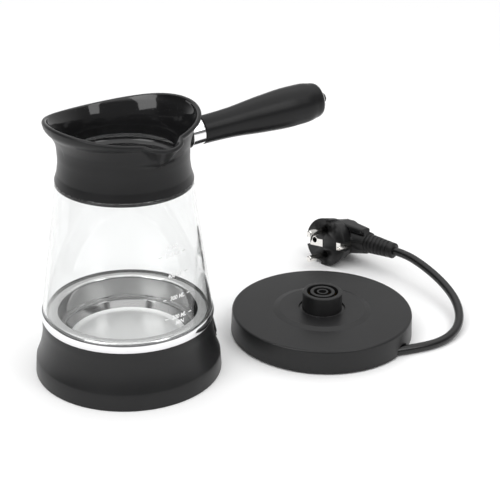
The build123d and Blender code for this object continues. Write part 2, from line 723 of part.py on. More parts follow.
with BuildPart() as socket_body:
    with BuildSketch(pot_floor.offset(COVER_Z)):
        Circle(socket_outer_r)
    extrude(amount=socket_top - COVER_Z)
    with BuildSketch(pot_floor.offset(cover_top)):
        Circle(SOCKET_FLANGE_R)
    extrude(amount=SOCKET_FLANGE_H)
    with BuildSketch(pot_floor.offset(COVER_Z)):
        Circle(SOCKET_R)
    extrude(amount=SOCKET_ROOF_Z - COVER_Z, mode=Mode.SUBTRACT)
    chamfer(socket_body.edges().group_by(Axis.Z)[0].sort_by(SortBy.RADIUS)[0], 0.6)
    # Insulating rings that reach into the grooves of the tower.
    with BuildSketch(pot_floor.offset(SOCKET_TIP_Z)):
        Circle(OUTER_RING_R)
        Circle(OUTER_RING_BORE, mode=Mode.SUBTRACT)
        Circle(INNER_RING_R)
        Circle(INNER_RING_BORE, mode=Mode.SUBTRACT)
    extrude(amount=SOCKET_ROOF_Z - SOCKET_TIP_Z)
    with BuildSketch(pot_floor.offset(SOCKET_ROOF_Z)):
        Circle(SOCKET_PIN_R)
    extrude(amount=SOCKET_ROOF, mode=Mode.SUBTRACT)
keep(socket_body, "socket_body")

for name, ring_r in (("socket_ring_outer", OUTER_RING_R), ("socket_ring_inner", INNER_RING_R)):
    with BuildPart() as socket_ring:
        with BuildSketch(pot_floor.offset(SLEEVE_LOW)):
            Circle(ring_r + RING_SLEEVE)
            Circle(ring_r, mode=Mode.SUBTRACT)
        extrude(amount=SLEEVE_HIGH - SLEEVE_LOW)
    keep(socket_ring, name)

with BuildPart() as socket_pin:
    with BuildSketch(pot_floor.offset(SOCKET_TIP_Z)):
        Circle(SOCKET_PIN_R)
    extrude(amount=socket_top - SOCKET_TIP_Z)
    chamfer(socket_pin.edges().group_by(Axis.Z)[0], 0.5)
keep(socket_pin, "socket_pin")

# ================================================================ pot: heater under the pan
plate_top = PAN_FLOOR_Z - SHEET
plate_low = plate_top - HEAT_PLATE_H

with BuildPart() as heat_plate:
    with BuildSketch(pot_floor.offset(plate_low)):
        Circle(HEAT_PLATE_R - 1.5)
        Circle(socket_outer_r + 4 * FIT, mode=Mode.SUBTRACT)
    extrude(amount=HEAT_PLATE_H)
keep(heat_plate, "heat_plate")

element_z = plate_low - ELEMENT_R - RUNNING_FIT
element_start = HANDLE_AZIMUTH + (360 - ELEMENT_SWEEP) / 2
element_ends = (element_start, element_start + ELEMENT_SWEEP)
element_start_way = heading(element_start)
with BuildPart() as heating_element:
    with BuildSketch(
        Plane(
            origin=(pot_x, pot_y, 0),
            x_dir=(element_start_way.X, element_start_way.Y, 0),
            z_dir=(element_start_way.Y, -element_start_way.X, 0),
        )
    ):
        with Locations((ELEMENT_RING_R, element_z)):
            Circle(ELEMENT_R)
    revolve(axis=pot_axis, revolution_arc=ELEMENT_SWEEP)
    for azimuth in element_ends:
        pin_place = around(pot_x, pot_y, ELEMENT_RING_R, azimuth, element_z)
        with Locations(pin_place):
            Sphere(ELEMENT_R)
        with BuildSketch(Plane(origin=pin_place)):
            Circle(ELEMENT_PIN_R)
        extrude(amount=ELEMENT_PIN_LOW - element_z)
keep(heating_element, "heating_element")

cutout_azimuth = HANDLE_AZIMUTH + 150
with BuildPart() as boil_dry_cutout:
    with BuildSketch(Plane(origin=around(pot_x, pot_y, CUTOUT_RING_R, cutout_azimuth, plate_low))):
        Circle(CUTOUT_R)
    extrude(amount=-CUTOUT_H * 0.4)
    with BuildSketch(
        Plane(
            origin=around(
                pot_x, pot_y, CUTOUT_RING_R, cutout_azimuth, plate_low - CUTOUT_H * 0.4
            )
        )
    ):
        Circle(CUTOUT_R * 0.8)
    extrude(amount=-CUTOUT_H * 0.6)
keep(boil_dry_cutout, "boil_dry_cutout")

fuse_azimuth = HANDLE_AZIMUTH - 110
fuse_centre = around(pot_x, pot_y, CUTOUT_RING_R, fuse_azimuth, plate_low - FUSE_R - RUNNING_FIT)
fuse_way = heading(fuse_azimuth + 90)
with BuildPart() as thermal_fuse:
    with BuildSketch(Plane(origin=fuse_centre, z_dir=fuse_way)):
        Circle(FUSE_R)
    extrude(amount=FUSE_L / 2, both=True)
keep(thermal_fuse, "thermal_fuse")

# ================================================================ pot: switch
frame_low = SWITCH_PAD_OUT
window_w = ROCKER_W + 2 * ROCKER_GAP
window_h = ROCKER_H + 2 * ROCKER_GAP
with BuildPart() as switch_frame:
    with BuildSketch(switch_plane.offset(frame_low)):
        RectangleRounded(SWITCH_FRAME_W, SWITCH_FRAME_H, 1.5)
        Rectangle(window_w, window_h, mode=Mode.SUBTRACT)
    extrude(amount=SWITCH_FRAME_T)
keep(switch_frame, "switch_frame")

with BuildPart() as switch_body:
    with BuildSketch(switch_plane.offset(frame_low)):
        Rectangle(SWITCH_BODY_W, SWITCH_BODY_H)
    extrude(amount=-SWITCH_BODY_D)
    with BuildSketch(switch_plane.offset(frame_low)):
        Rectangle(window_w, window_h)
    extrude(amount=-SWITCH_CAVITY_D, mode=Mode.SUBTRACT)
    # Bearings of the rocker's pins.
    with BuildSketch(
        Plane(
            origin=switch_plane.offset(-ROCKER_PIN_R).origin,
            x_dir=switch_plane.y_dir,
            z_dir=switch_plane.x_dir,
        )
    ):
        Circle(ROCKER_PIN_R + RUNNING_FIT)
    extrude(amount=SWITCH_BODY_W / 2 - 0.3, both=True, mode=Mode.SUBTRACT)
    with BuildSketch(switch_plane.offset(frame_low - SWITCH_BODY_D)):
        with GridLocations(0, SWITCH_BODY_H * 0.6, 1, 2):
            Rectangle(4.0, SHEET)
    extrude(amount=-SWITCH_TAB_L)
keep(switch_body, "switch_body")

rocker_tilt = radians(ROCKER_REST)
rocker_side = Plane(
    origin=switch_plane.offset(-ROCKER_PIN_R).origin,
    x_dir=switch_plane.y_dir * cos(rocker_tilt) + switch_plane.z_dir * sin(rocker_tilt),
    z_dir=switch_plane.x_dir,
)
rocker_face = Plane(
    origin=rocker_side.origin, x_dir=rocker_side.x_dir, z_dir=rocker_side.y_dir
)
rocker_top = ROCKER_PIN_R + SWITCH_PAD_OUT + SWITCH_FRAME_T + ROCKER_UP / 2
with BuildPart() as switch_rocker:
    with BuildSketch(rocker_side):
        with BuildLine():
            Line((-ROCKER_H / 2 + 1.0, -ROCKER_DOWN), (ROCKER_H / 2 - 1.0, -ROCKER_DOWN))
            Line((ROCKER_H / 2 - 1.0, -ROCKER_DOWN), (ROCKER_H / 2 - 0.4, rocker_top))
            ThreePointArc(
                (ROCKER_H / 2 - 0.4, rocker_top),
                (0, rocker_top - ROCKER_DISH),
                (-ROCKER_H / 2 + 0.4, rocker_top),
            )
            Line((-ROCKER_H / 2 + 0.4, rocker_top), (-ROCKER_H / 2 + 1.0, -ROCKER_DOWN))
        make_face()
    extrude(amount=ROCKER_W / 2, both=True)
    with BuildSketch(rocker_side):
        Circle(ROCKER_PIN_R)
    extrude(amount=SWITCH_BODY_W / 2 - 0.5, both=True)
    with BuildSketch(rocker_face.offset(rocker_top - ROCKER_DISH - LENS_T)):
        with Locations((ROCKER_H * 0.25, 0)):
            Rectangle(LENS_H, LENS_W)
    extrude(amount=ROCKER_UP, mode=Mode.SUBTRACT)
keep(switch_rocker, "switch_rocker")

with BuildPart() as rocker_lens:
    with BuildSketch(rocker_face.offset(rocker_top - ROCKER_DISH - LENS_T)):
        with Locations((ROCKER_H * 0.25, 0)):
            Rectangle(LENS_H, LENS_W)
    extrude(amount=LENS_T)
keep(rocker_lens, "rocker_lens")

# ================================================================ power base
plateau_z = BASE_TOP_Z + PLATEAU_RISE
# Route of the cord from near the plug's boot to the skirt, seen from the base's axis.
cord_seen_from_base = (
    (74.1, 67.9, 18.3),
    (82.7, 55.2, 15.6),
    (89.6, 41.9, 12.6),
    (93.8, 28.4, 9.8),
    (94.8, 14.9, 7.2),
    (92.6, 2.0, 5.1),
    (87.1, -9.3, 3.7),
    (78.6, -18.6, 3.0),
    (66.3, -26.2, 3.0),
    (52.6, -31.0, 3.0),
)
cord_seen = [(base_x + x, base_y + y, z) for x, y, z in cord_seen_from_base]
cord_inward = (Vector(*cord_seen[-1]) - Vector(*cord_seen[-2])).normalized()
# Route of the same cord inside the base, from the skirt to the end of its sheath.
lead_seen_from_base = (
    (35.3, -34.0, 5.0),
    (27.0, -29.5, 6.4),
    (17.5, -20.0, 6.4),
)
lead_seen = [cord_seen[-1], tuple(Vector(*cord_seen[-1]) + cord_inward * LEAD_RUN)]
lead_seen += [(base_x + x, base_y + y, z) for x, y, z in lead_seen_from_base]
notch_plane = Plane(
    origin=(cord_seen[-1][0], cord_seen[-1][1], 0),
    x_dir=(-cord_inward.Y, cord_inward.X, 0),
    z_dir=cord_inward,
)

with BuildPart() as base_top:
    with BuildSketch(base_side):
        with BuildLine():
            Polyline(
                (MOAT_R, plateau_z),
                (PLATEAU_R, plateau_z),
                (PLATEAU_FOOT_R, BASE_TOP_Z),
                (BASE_TOP_R - BASE_EDGE, BASE_TOP_Z),
            )
            RadiusArc(
                (BASE_TOP_R - BASE_EDGE, BASE_TOP_Z), (BASE_TOP_R, BASE_TOP_Z - BASE_EDGE), BASE_EDGE
            )
            Polyline(
                (BASE_TOP_R, BASE_TOP_Z - BASE_EDGE),
                (BASE_FOOT_R, BASE_SKIRT_Z),
                (BASE_FOOT_R - BASE_WALL, BASE_SKIRT_Z),
                (BASE_TOP_R - BASE_WALL, BASE_TOP_Z - BASE_WALL),
                (PLATEAU_FOOT_R, BASE_TOP_Z - BASE_WALL),
                (PLATEAU_R, plateau_z - BASE_WALL),
                (MOAT_R, plateau_z - BASE_WALL),
                (MOAT_R, plateau_z),
            )
        make_face()
    revolve(axis=base_axis)
    with BuildSketch(base_floor.offset(BASE_SKIRT_Z + BOTTOM_WALL)):
        with PolarLocations(BASE_SCREW_RING_R, 3, start_angle=BASE_SCREW_START):
            Circle(BASE_BOSS_R)
            Circle(SCREW_R + FIT / 2, mode=Mode.SUBTRACT)
    extrude(amount=BASE_TOP_Z - BASE_WALL - BASE_SKIRT_Z - BOTTOM_WALL)
    # Arched way out for the cord.
    with BuildSketch(notch_plane.offset(-NOTCH_OUT)):
        with BuildLine():
            Line((-NOTCH_W / 2, 0), (NOTCH_W / 2, 0))
            Line((NOTCH_W / 2, 0), (NOTCH_W / 2, NOTCH_H - NOTCH_W / 2))
            ThreePointArc(
                (NOTCH_W / 2, NOTCH_H - NOTCH_W / 2),
                (0, NOTCH_H),
                (-NOTCH_W / 2, NOTCH_H - NOTCH_W / 2),
            )
            Line((-NOTCH_W / 2, NOTCH_H - NOTCH_W / 2), (-NOTCH_W / 2, 0))
        make_face()
    extrude(amount=NOTCH_OUT + NOTCH_IN, mode=Mode.SUBTRACT)
keep(base_top, "base_top")

with BuildPart() as base_bottom:
    with BuildSketch(base_floor.offset(BASE_SKIRT_Z)):
        Circle(BASE_FOOT_R - BASE_WALL - FIT)
        with PolarLocations(BASE_SCREW_RING_R, 3, start_angle=BASE_SCREW_START):
            Circle(SCREW_R + FIT, mode=Mode.SUBTRACT)
    extrude(amount=BOTTOM_WALL)
    # Pockets that hold the rubber feet.
    with BuildSketch(base_floor.offset(BASE_SKIRT_Z)):
        with PolarLocations(BASE_FOOT_RING_R, 4):
            Circle(BASE_FOOT_PAD_R)
    extrude(amount=BASE_FOOT_SINK, mode=Mode.SUBTRACT)
    # Slot that lets the cord lie low where it leaves.
    with BuildSketch(base_floor.offset(BASE_SKIRT_Z)):
        with Locations((SLOT_X, SLOT_Y)):
            Rectangle(SLOT_L, SLOT_W, rotation=SLOT_TURN)
    extrude(amount=BOTTOM_WALL, mode=Mode.SUBTRACT)
    # Posts that the cord clamp is screwed to.
    clamp_start = Vector(*lead_seen[3])
    clamp_stop = Vector(*lead_seen[4])
    clamp_middle = clamp_start + (clamp_stop - clamp_start) * 0.45
    clamp_plane = Plane(
        origin=(clamp_middle.X, clamp_middle.Y, 0),
        x_dir=(clamp_start.Y - clamp_stop.Y, clamp_stop.X - clamp_start.X, 0),
        z_dir=(0, 0, 1),
    )
    with BuildSketch(clamp_plane.offset(BASE_SKIRT_Z + BOTTOM_WALL)):
        with GridLocations(2 * CLAMP_SCREW_OUT, 0, 2, 1):
            Circle(2.4)
            Circle(SCREW_R - 0.3, mode=Mode.SUBTRACT)
    extrude(amount=lead_seen[3][2] + CORD_R - BASE_SKIRT_Z - BOTTOM_WALL)
keep(base_bottom, "base_bottom")

clamp_low = lead_seen[3][2] + CORD_R
with BuildPart() as cord_clamp:
    with BuildSketch(clamp_plane.offset(clamp_low)):
        SlotOverall(CLAMP_L, CLAMP_W)
        with GridLocations(2 * CLAMP_SCREW_OUT, 0, 2, 1):
            Circle(SCREW_R - 0.3 + FIT, mode=Mode.SUBTRACT)
    extrude(amount=CLAMP_T)
keep(cord_clamp, "cord_clamp")

with BuildPart() as clamp_screws:
    with BuildSketch(clamp_plane.offset(clamp_low + CLAMP_T)):
        with GridLocations(2 * CLAMP_SCREW_OUT, 0, 2, 1):
            Circle(SCREW_R - 0.3)
    extrude(amount=-CLAMP_T - 5.0)
    with BuildSketch(clamp_plane.offset(clamp_low + CLAMP_T)):
        with GridLocations(2 * CLAMP_SCREW_OUT, 0, 2, 1):
            Circle(SCREW_HEAD_R - 0.4)
    extrude(amount=SCREW_HEAD_H)
keep(clamp_screws, "clamp_screws")

with BuildPart() as base_feet:
    with BuildSketch(base_floor):
        with PolarLocations(BASE_FOOT_RING_R, 4):
            Circle(BASE_FOOT_PAD_R - FIT)
    extrude(amount=BASE_SKIRT_Z + BASE_FOOT_SINK)
keep(base_feet, "base_feet")

with BuildPart() as base_screws:
    with BuildSketch(base_floor.offset(BASE_SKIRT_Z)):
        with PolarLocations(BASE_SCREW_RING_R, 3, start_angle=BASE_SCREW_START):
            Circle(SCREW_R)
    extrude(amount=SCREW_L)
    with BuildSketch(base_floor.offset(BASE_SKIRT_Z)):
        with PolarLocations(BASE_SCREW_RING_R, 3, start_angle=BASE_SCREW_START):
            Circle(SCREW_HEAD_R)
    extrude(amount=-SCREW_HEAD_H / 2)
keep(base_screws, "base_screws")

# ================================================================ power base: connector tower
tower_top = plateau_z + TOWER_RISE
groove_floor = tower_top - GROOVE_DEPTH
contact_low = groove_floor + CONTACT_LOW
flange_top = plateau_z - BASE_WALL
moat_floor = plateau_z - MOAT_DEPTH
contact_bores = (OUTER_GROOVE_R, INNER_GROOVE_R, CENTRE_HOLE_R)
tab_widths = (CONTACT_TAB_W, CONTACT_TAB_W, CONTACT_TAB_W / 2)


def groove_outline(bore):
    """Outer wall of a groove from the tower's top to its floor, with the seat of its contact."""
    return (
        (bore, tower_top),
        (bore, contact_low + CONTACT_H),
        (bore + CONTACT_WALL, contact_low + CONTACT_H),
        (bore + CONTACT_WALL, contact_low),
        (bore, contact_low),
        (bore, groove_floor),
    )


def tab_plane(azimuth, height):
    """Level plane at the tower with its x direction at an azimuth."""
    return Plane(origin=(base_x, base_y, height), x_dir=heading(azimuth), z_dir=(0, 0, 1))


with BuildPart() as tower_body:
    with BuildSketch(base_side):
        with BuildLine():
            Polyline(
                (0, TOWER_FOOT_Z),
                (TOWER_FOOT_R, TOWER_FOOT_Z),
                (TOWER_FOOT_R, flange_top - TOWER_FLANGE_H),
                (TOWER_FLANGE_R, flange_top - TOWER_FLANGE_H),
                (TOWER_FLANGE_R, flange_top),
                (MOAT_R - FIT, flange_top),
                (MOAT_R - FIT, moat_floor),
                (TOWER_R, moat_floor),
                (TOWER_R, tower_top - TOWER_CHAMFER),
                (TOWER_R - TOWER_CHAMFER, tower_top),
                *groove_outline(OUTER_GROOVE_R),
                (OUTER_GROOVE_BORE, groove_floor),
                (OUTER_GROOVE_BORE, tower_top),
                *groove_outline(INNER_GROOVE_R),
                (INNER_GROOVE_BORE, groove_floor),
                (INNER_GROOVE_BORE, tower_top),
                *groove_outline(CENTRE_HOLE_R),
                (0, groove_floor),
                close=True,
            )
        make_face()
    revolve(axis=base_axis)
    # Slots for the contacts' tabs, open to the grooves.
    for bore, azimuth, tab_w in zip(contact_bores, CONTACT_AZIMUTHS, tab_widths):
        with BuildSketch(tab_plane(azimuth, TOWER_FOOT_Z)):
            with Locations((bore + (CONTACT_WALL - TAB_OPENING) / 2, 0)):
                Rectangle(CONTACT_WALL + TAB_OPENING, tab_w)
        extrude(amount=contact_low - TOWER_FOOT_Z, mode=Mode.SUBTRACT)
keep(tower_body, "tower_body")

contact_names = ("tower_contact_outer", "tower_contact_inner", "tower_contact_earth")
for name, bore, azimuth, tab_w in zip(contact_names, contact_bores, CONTACT_AZIMUTHS, tab_widths):
    with BuildPart() as tower_contact:
        with BuildSketch(base_floor.offset(contact_low)):
            Circle(bore + CONTACT_WALL)
            Circle(bore, mode=Mode.SUBTRACT)
        extrude(amount=CONTACT_H)
        with BuildSketch(tab_plane(azimuth, CONTACT_TAB_LOW)):
            with Locations((bore + CONTACT_WALL / 2, 0)):
                Rectangle(CONTACT_WALL - FIT / 2, tab_w - FIT / 2)
        extrude(amount=contact_low - CONTACT_TAB_LOW)
    keep(tower_contact, name)

# ================================================================ cord
pin_rise = radians(PLUG_PIN_RISE)
plug_roll = radians(PLUG_ROLL)
plug_level = heading(PLUG_PIN_AZIMUTH)
plug_pin_way = Vector(
    plug_level.X * cos(pin_rise), plug_level.Y * cos(pin_rise), sin(pin_rise)
)
plug_side_way = heading(PLUG_PIN_AZIMUTH + 90)
plug_exit_way = plug_side_way * cos(plug_roll) + plug_pin_way.cross(plug_side_way) * sin(plug_roll)
plug_centre = Vector(base_x + PLUG_X, base_y + PLUG_Y, PLUG_Z)
plug_face = Plane(origin=plug_centre, x_dir=plug_exit_way, z_dir=plug_pin_way)
cord_back = plug_face.offset(-CORD_BACK)
droop_slope = BOOT_DROOP / (BOOT_END - BOOT_DROOP_START)
boot_start = cord_back.from_local_coords(
    Vector(ARM_END, -droop_slope * (ARM_END - BOOT_DROOP_START), 0)
)
boot_tail = cord_back.from_local_coords(Vector(BOOT_END, -BOOT_DROOP, 0))
boot_way = (boot_tail - boot_start).normalized()
boot_length = (boot_tail - boot_start).length

cord_route = [tuple(boot_tail), tuple(boot_tail + boot_way * CORD_FIRST_RUN)] + cord_seen
cord_radii = bend_radii(cord_route)
print("cord radii", [round(radius, 1) for radius in cord_radii])

with BuildPart() as power_cord:
    with BuildLine() as cord_line:
        FilletPolyline(*cord_route, radius=cord_radii)
    with BuildSketch(Plane(origin=cord_line.line @ 0, z_dir=cord_line.line % 0)):
        Circle(CORD_R)
    sweep()
keep(power_cord, "power_cord")
cord_length = cord_line.wires()[0].length
cord_section = power_cord.part.volume / cord_length
print("cord length", round(cord_length, 1))
print("cord section ratio", round(cord_section / (pi * CORD_R**2), 5))

lead_radii = bend_radii(lead_seen)
print("lead radii", [round(radius, 1) for radius in lead_radii])
with BuildPart() as inner_lead:
    with BuildLine() as lead_line:
        FilletPolyline(*lead_seen, radius=lead_radii)
    with BuildSketch(Plane(origin=lead_line.line @ 0, z_dir=lead_line.line % 0)):
        Circle(CORD_R)
    sweep()
keep(inner_lead, "inner_lead")

# ================================================================ plug
arm_plane = Plane(
    origin=cord_back.from_local_coords(Vector(ARM_START, 0, 0)),
    x_dir=cord_back.y_dir,
    z_dir=plug_exit_way,
)
boot_plane = Plane(origin=boot_start, x_dir=cord_back.y_dir, z_dir=boot_way)

with BuildPart() as plug_body:
    with BuildSketch(plug_face):
        Circle(PLUG_R)
    with BuildSketch(plug_face.offset(-PLUG_FACE_T)):
        Circle(PLUG_SHOULDER_R)
    loft()
    with BuildSketch(plug_face):
        with PolarLocations(PLUG_R, 2, start_angle=GUIDE_ANGLE):
            Rectangle(2 * GUIDE_DEPTH, GUIDE_W)
    extrude(amount=-PLUG_FACE_T, mode=Mode.SUBTRACT)
    with BuildSketch(plug_face.offset(-PLUG_FACE_T)):
        Circle(PLUG_CHIN_R)
    with BuildSketch(plug_face.offset(-PLUG_DEPTH)):
        RectangleRounded(PLUG_BACK_W, PLUG_BACK_H, 8.0)
    loft()
    fillet(plug_body.faces().sort_by(Axis(tuple(plug_centre), tuple(plug_pin_way)))[0].edges(), 3.0)
    with BuildSketch(arm_plane):
        Circle(ARM_FULL_R)
    with BuildSketch(boot_plane):
        Circle(ARM_R)
    loft()
    # Rest for the thumb.
    thumb_places = (
        (THUMB_START, THUMB_UP, THUMB_W, THUMB_H),
        (THUMB_END, THUMB_END_UP, THUMB_END_W, THUMB_END_H),
    )
    for along, up, wide, high in thumb_places:
        with BuildSketch(
            Plane(
                origin=cord_back.from_local_coords(Vector(along, up, THUMB_FORWARD)),
                x_dir=plug_pin_way,
                z_dir=plug_exit_way,
            )
        ):
            RectangleRounded(wide, high, THUMB_ROUND)
    loft()
    # Slots of the side clips, bores of the pins and the earth contact's seat.
    with BuildSketch(plug_face):
        with Locations((CLIP_OUT + PLUG_R / 2, CLIP_UP), (-CLIP_OUT - PLUG_R / 2, CLIP_UP)):
            Rectangle(PLUG_R + 2 * CLIP_T, CLIP_W)
    extrude(amount=-CLIP_L, mode=Mode.SUBTRACT)
    with BuildSketch(plug_face):
        with Locations(((CLIP_OUT + CLIP_IN) / 2 - CLIP_T, CLIP_UP)):
            Rectangle(CLIP_OUT - CLIP_IN, CLIP_W)
        with Locations(((-CLIP_OUT - EARTH_PLATE_IN) / 2 + CLIP_T, CLIP_UP)):
            Rectangle(CLIP_OUT - EARTH_PLATE_IN, CLIP_W)
    extrude(amount=-CLIP_T, mode=Mode.SUBTRACT)
    with BuildSketch(plug_face):
        with GridLocations(0, PIN_SPACING, 1, 2):
            Circle(PIN_R)
        with Locations((EARTH_HOLE_OUT, 0)):
            Circle(EARTH_HOLE_R)
    extrude(amount=-PIN_SINK, mode=Mode.SUBTRACT)
keep(plug_body, "plug_body")

with BuildPart() as plug_pins:
    with BuildSketch(plug_face.offset(-PIN_SINK)):
        with GridLocations(0, PIN_SPACING, 1, 2):
            Circle(PIN_R)
    extrude(amount=PIN_SINK + PIN_L)
    pin_ends = plug_pins.faces().sort_by(Axis(tuple(plug_centre), tuple(plug_pin_way)))[-2:]
    fillet(pin_ends.edges(), PIN_TIP)
keep(plug_pins, "plug_pins")

with BuildPart() as plug_earth_clips:
    with BuildSketch(plug_face):
        with Locations((CLIP_OUT - CLIP_T / 2, CLIP_UP), (-CLIP_OUT + CLIP_T / 2, CLIP_UP)):
            Rectangle(CLIP_T, CLIP_W - FIT)
    extrude(amount=-CLIP_L)
    with BuildSketch(plug_face):
        with Locations(((CLIP_OUT + CLIP_IN) / 2 - CLIP_T / 2, CLIP_UP)):
            Rectangle(CLIP_OUT - CLIP_IN - CLIP_T, CLIP_W - FIT)
        with Locations(((-CLIP_OUT - EARTH_PLATE_IN) / 2 + CLIP_T / 2, CLIP_UP)):
            Rectangle(CLIP_OUT - EARTH_PLATE_IN - CLIP_T, CLIP_W - FIT)
    extrude(amount=-CLIP_T)
    with BuildSketch(plug_face.offset(-PIN_SINK)):
        with Locations((EARTH_HOLE_OUT, 0)):
            Circle(EARTH_HOLE_R)
    extrude(amount=PIN_SINK)
    with BuildSketch(plug_face.offset(-PIN_SINK)):
        with Locations((EARTH_HOLE_OUT, 0)):
            Circle(EARTH_HOLE_R - EARTH_TUBE_WALL)
    extrude(amount=PIN_SINK, mode=Mode.SUBTRACT)
keep(plug_earth_clips, "plug_earth_clips")

rib_pitch = boot_length / (BOOT_RIBS + 1.2)
with BuildPart() as plug_boot:
    with BuildSketch(boot_plane):
        Circle(BOOT_R)
    with BuildSketch(boot_plane.offset(boot_length)):
        Circle(BOOT_END_R)
    loft()
    for rib in range(BOOT_RIBS):
        slot_at = rib_pitch * (rib + 0.6)
        slot_r = BOOT_R + (BOOT_END_R - BOOT_R) * slot_at / boot_length
        with BuildSketch(boot_plane.offset(slot_at)):
            Circle(BOOT_R + 1)
            Circle(slot_r - BOOT_SLOT_DEPTH, mode=Mode.SUBTRACT)
        extrude(amount=rib_pitch - BOOT_RIB, mode=Mode.SUBTRACT)
keep(plug_boot, "plug_boot")

# ================================================================ wires
def build_wires(name, *routes):
    """Round insulated wires, each along its own route, kept as one piece."""
    with BuildPart() as wires:
        for route in routes:
            bends = [min(radius, WIRE_BEND) for radius in bend_radii(route)]
            with BuildLine() as run:
                FilletPolyline(*route, radius=bends)
            with BuildSketch(Plane(origin=run.line @ 0, z_dir=run.line % 0)):
                Circle(WIRE_R)
            sweep(path=run.wires()[0])
    keep(wires, name)


def in_pot(*places):
    """Points in the pot from ring radius, azimuth and height."""
    return [around(pot_x, pot_y, *place) for place in places]


tab_ends = switch_plane.offset(frame_low - SWITCH_BODY_D - SWITCH_TAB_L / 2)
tab_low = tuple(tab_ends.from_local_coords((0, -SWITCH_BODY_H * 0.3, 0)))
tab_high = tuple(tab_ends.from_local_coords((0, SWITCH_BODY_H * 0.3, 0)))
socket_side = socket_outer_r - 0.3
element_pin_end = ELEMENT_PIN_LOW + 0.5
wire_ring_r = SWITCH_OUT_R - SWITCH_BODY_D - 7.6
cutout_low = plate_low - CUTOUT_H
fuse_start = Vector(*fuse_centre) + fuse_way * (FUSE_L / 2 - 0.5)
fuse_stop = Vector(*fuse_centre) - fuse_way * (FUSE_L / 2 - 0.5)

build_wires(
    "live_wires",
    in_pot((socket_side, 22, 9), (25, 22, 9), (37, 28, 10)) + [tab_low],
    [tab_high]
    + in_pot((wire_ring_r, 40, 14), (wire_ring_r + 1, 65, 9), (wire_ring_r, 95, 8))
    + in_pot((wire_ring_r, 125, 8), (wire_ring_r - 1, 152, 9.5), (wire_ring_r, 170, 12))
    + in_pot((CUTOUT_RING_R + CUTOUT_R * 0.8 - 0.5, cutout_azimuth, cutout_low + 1.8)),
    in_pot(
        (CUTOUT_RING_R, cutout_azimuth, cutout_low + 0.5),
        (CUTOUT_RING_R, cutout_azimuth, 6.6),
        (30, 155, 6.4),
        (30, 125, 6.4),
        (29, 95, 6.4),
        (27, 70, 6.4),
        (ELEMENT_RING_R, 60, 6.4),
        (ELEMENT_RING_R, 60, element_pin_end),
    ),
)
build_wires(
    "neutral_wires",
    in_pot((socket_side, 12, 7), (26, 10, 7), (34, -12, 7.5), (36, -36, 10), (34.5, -56, 15.45))
    + [tuple(fuse_start)],
    [tuple(fuse_stop)]
    + in_pot((34.5, -103, 15.0), (37, -115, 11), (34, -112, 6.2), (30, -92, 6), (29, -60, 6))
    + in_pot((28, -30, 6.2), (ELEMENT_RING_R, 0, 6.2), (ELEMENT_RING_R, 0, element_pin_end)),
)
build_wires(
    "earth_wire",
    in_pot((socket_side, 46, 8), (23, 46, 8), (29, 44, 11), (29, 44, plate_low + 0.4)),
)

lead_end = Vector(*lead_seen[-1])
lead_way = (lead_end - Vector(*lead_seen[-2])).normalized()
lead_left = Vector(-lead_way.Y, lead_way.X, 0)


def core(left, up, bore, azimuth):
    """Route of one core from the end of the sheath to its contact tab."""
    start = lead_end + lead_left * left + Vector(0, 0, up)
    stop = Vector(*around(base_x, base_y, bore + CONTACT_WALL / 2, azimuth, TOWER_FOOT_Z - 2))
    middle = start + lead_way * CORD_R + (stop - start) * 0.3
    return [tuple(start), tuple(middle), tuple(stop)]


core_names = ("base_live_wire", "base_neutral_wire", "base_earth_wire")
core_places = ((1.2, -0.7), (-1.2, -0.7), (0, 1.4))
for name, place, bore, azimuth in zip(core_names, core_places, contact_bores, CONTACT_AZIMUTHS):
    build_wires(name, core(*place, bore, azimuth))

for name, piece in parts:
    export_step(piece, f"parts/{name}.step")
print(len(parts), "pieces")
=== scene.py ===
import json
from math import asin, atan2, cos, degrees, hypot, pi, radians, sin, tan

import bmesh
import bpy
from bpy.props import FloatProperty, FloatVectorProperty, PointerProperty
from bpy.types import Operator, Panel, PropertyGroup
from mathutils import Matrix, Vector


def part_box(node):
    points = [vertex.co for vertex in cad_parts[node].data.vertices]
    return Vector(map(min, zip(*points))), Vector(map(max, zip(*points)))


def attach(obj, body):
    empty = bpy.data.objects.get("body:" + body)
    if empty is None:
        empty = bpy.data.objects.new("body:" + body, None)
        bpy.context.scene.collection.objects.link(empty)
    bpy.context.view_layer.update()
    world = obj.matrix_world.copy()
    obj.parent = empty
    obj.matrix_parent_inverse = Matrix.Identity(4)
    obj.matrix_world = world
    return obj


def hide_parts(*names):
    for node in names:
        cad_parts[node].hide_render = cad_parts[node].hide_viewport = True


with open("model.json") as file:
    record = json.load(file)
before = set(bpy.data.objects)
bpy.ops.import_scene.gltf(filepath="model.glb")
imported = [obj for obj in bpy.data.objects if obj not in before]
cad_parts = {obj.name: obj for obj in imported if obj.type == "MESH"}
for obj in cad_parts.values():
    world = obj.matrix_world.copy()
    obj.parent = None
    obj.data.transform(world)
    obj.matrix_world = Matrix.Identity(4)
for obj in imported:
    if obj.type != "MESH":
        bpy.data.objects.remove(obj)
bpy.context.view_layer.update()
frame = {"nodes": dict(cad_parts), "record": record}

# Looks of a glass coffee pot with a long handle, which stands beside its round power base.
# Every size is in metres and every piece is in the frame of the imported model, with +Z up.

bl_info = {
    "name": "Glass coffee pot",
    "version": (1, 0, 0),
    "blender": (4, 5, 0),
    "location": "View3D > Sidebar > Coffee pot",
    "description": "Builds the looks of a glass coffee pot and its power base",
    "category": "Add Mesh",
}

MM = 0.001
TURN_STEPS = 192
ROUND_STEPS = 6
SHARP_TURN = radians(40)
FLAT_TURN = radians(1)
MERGE = 1e-6


def middle(node):
    """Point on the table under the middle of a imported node."""
    low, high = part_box(node)
    return Vector(((low.x + high.x) / 2, (low.y + high.y) / 2, 0))


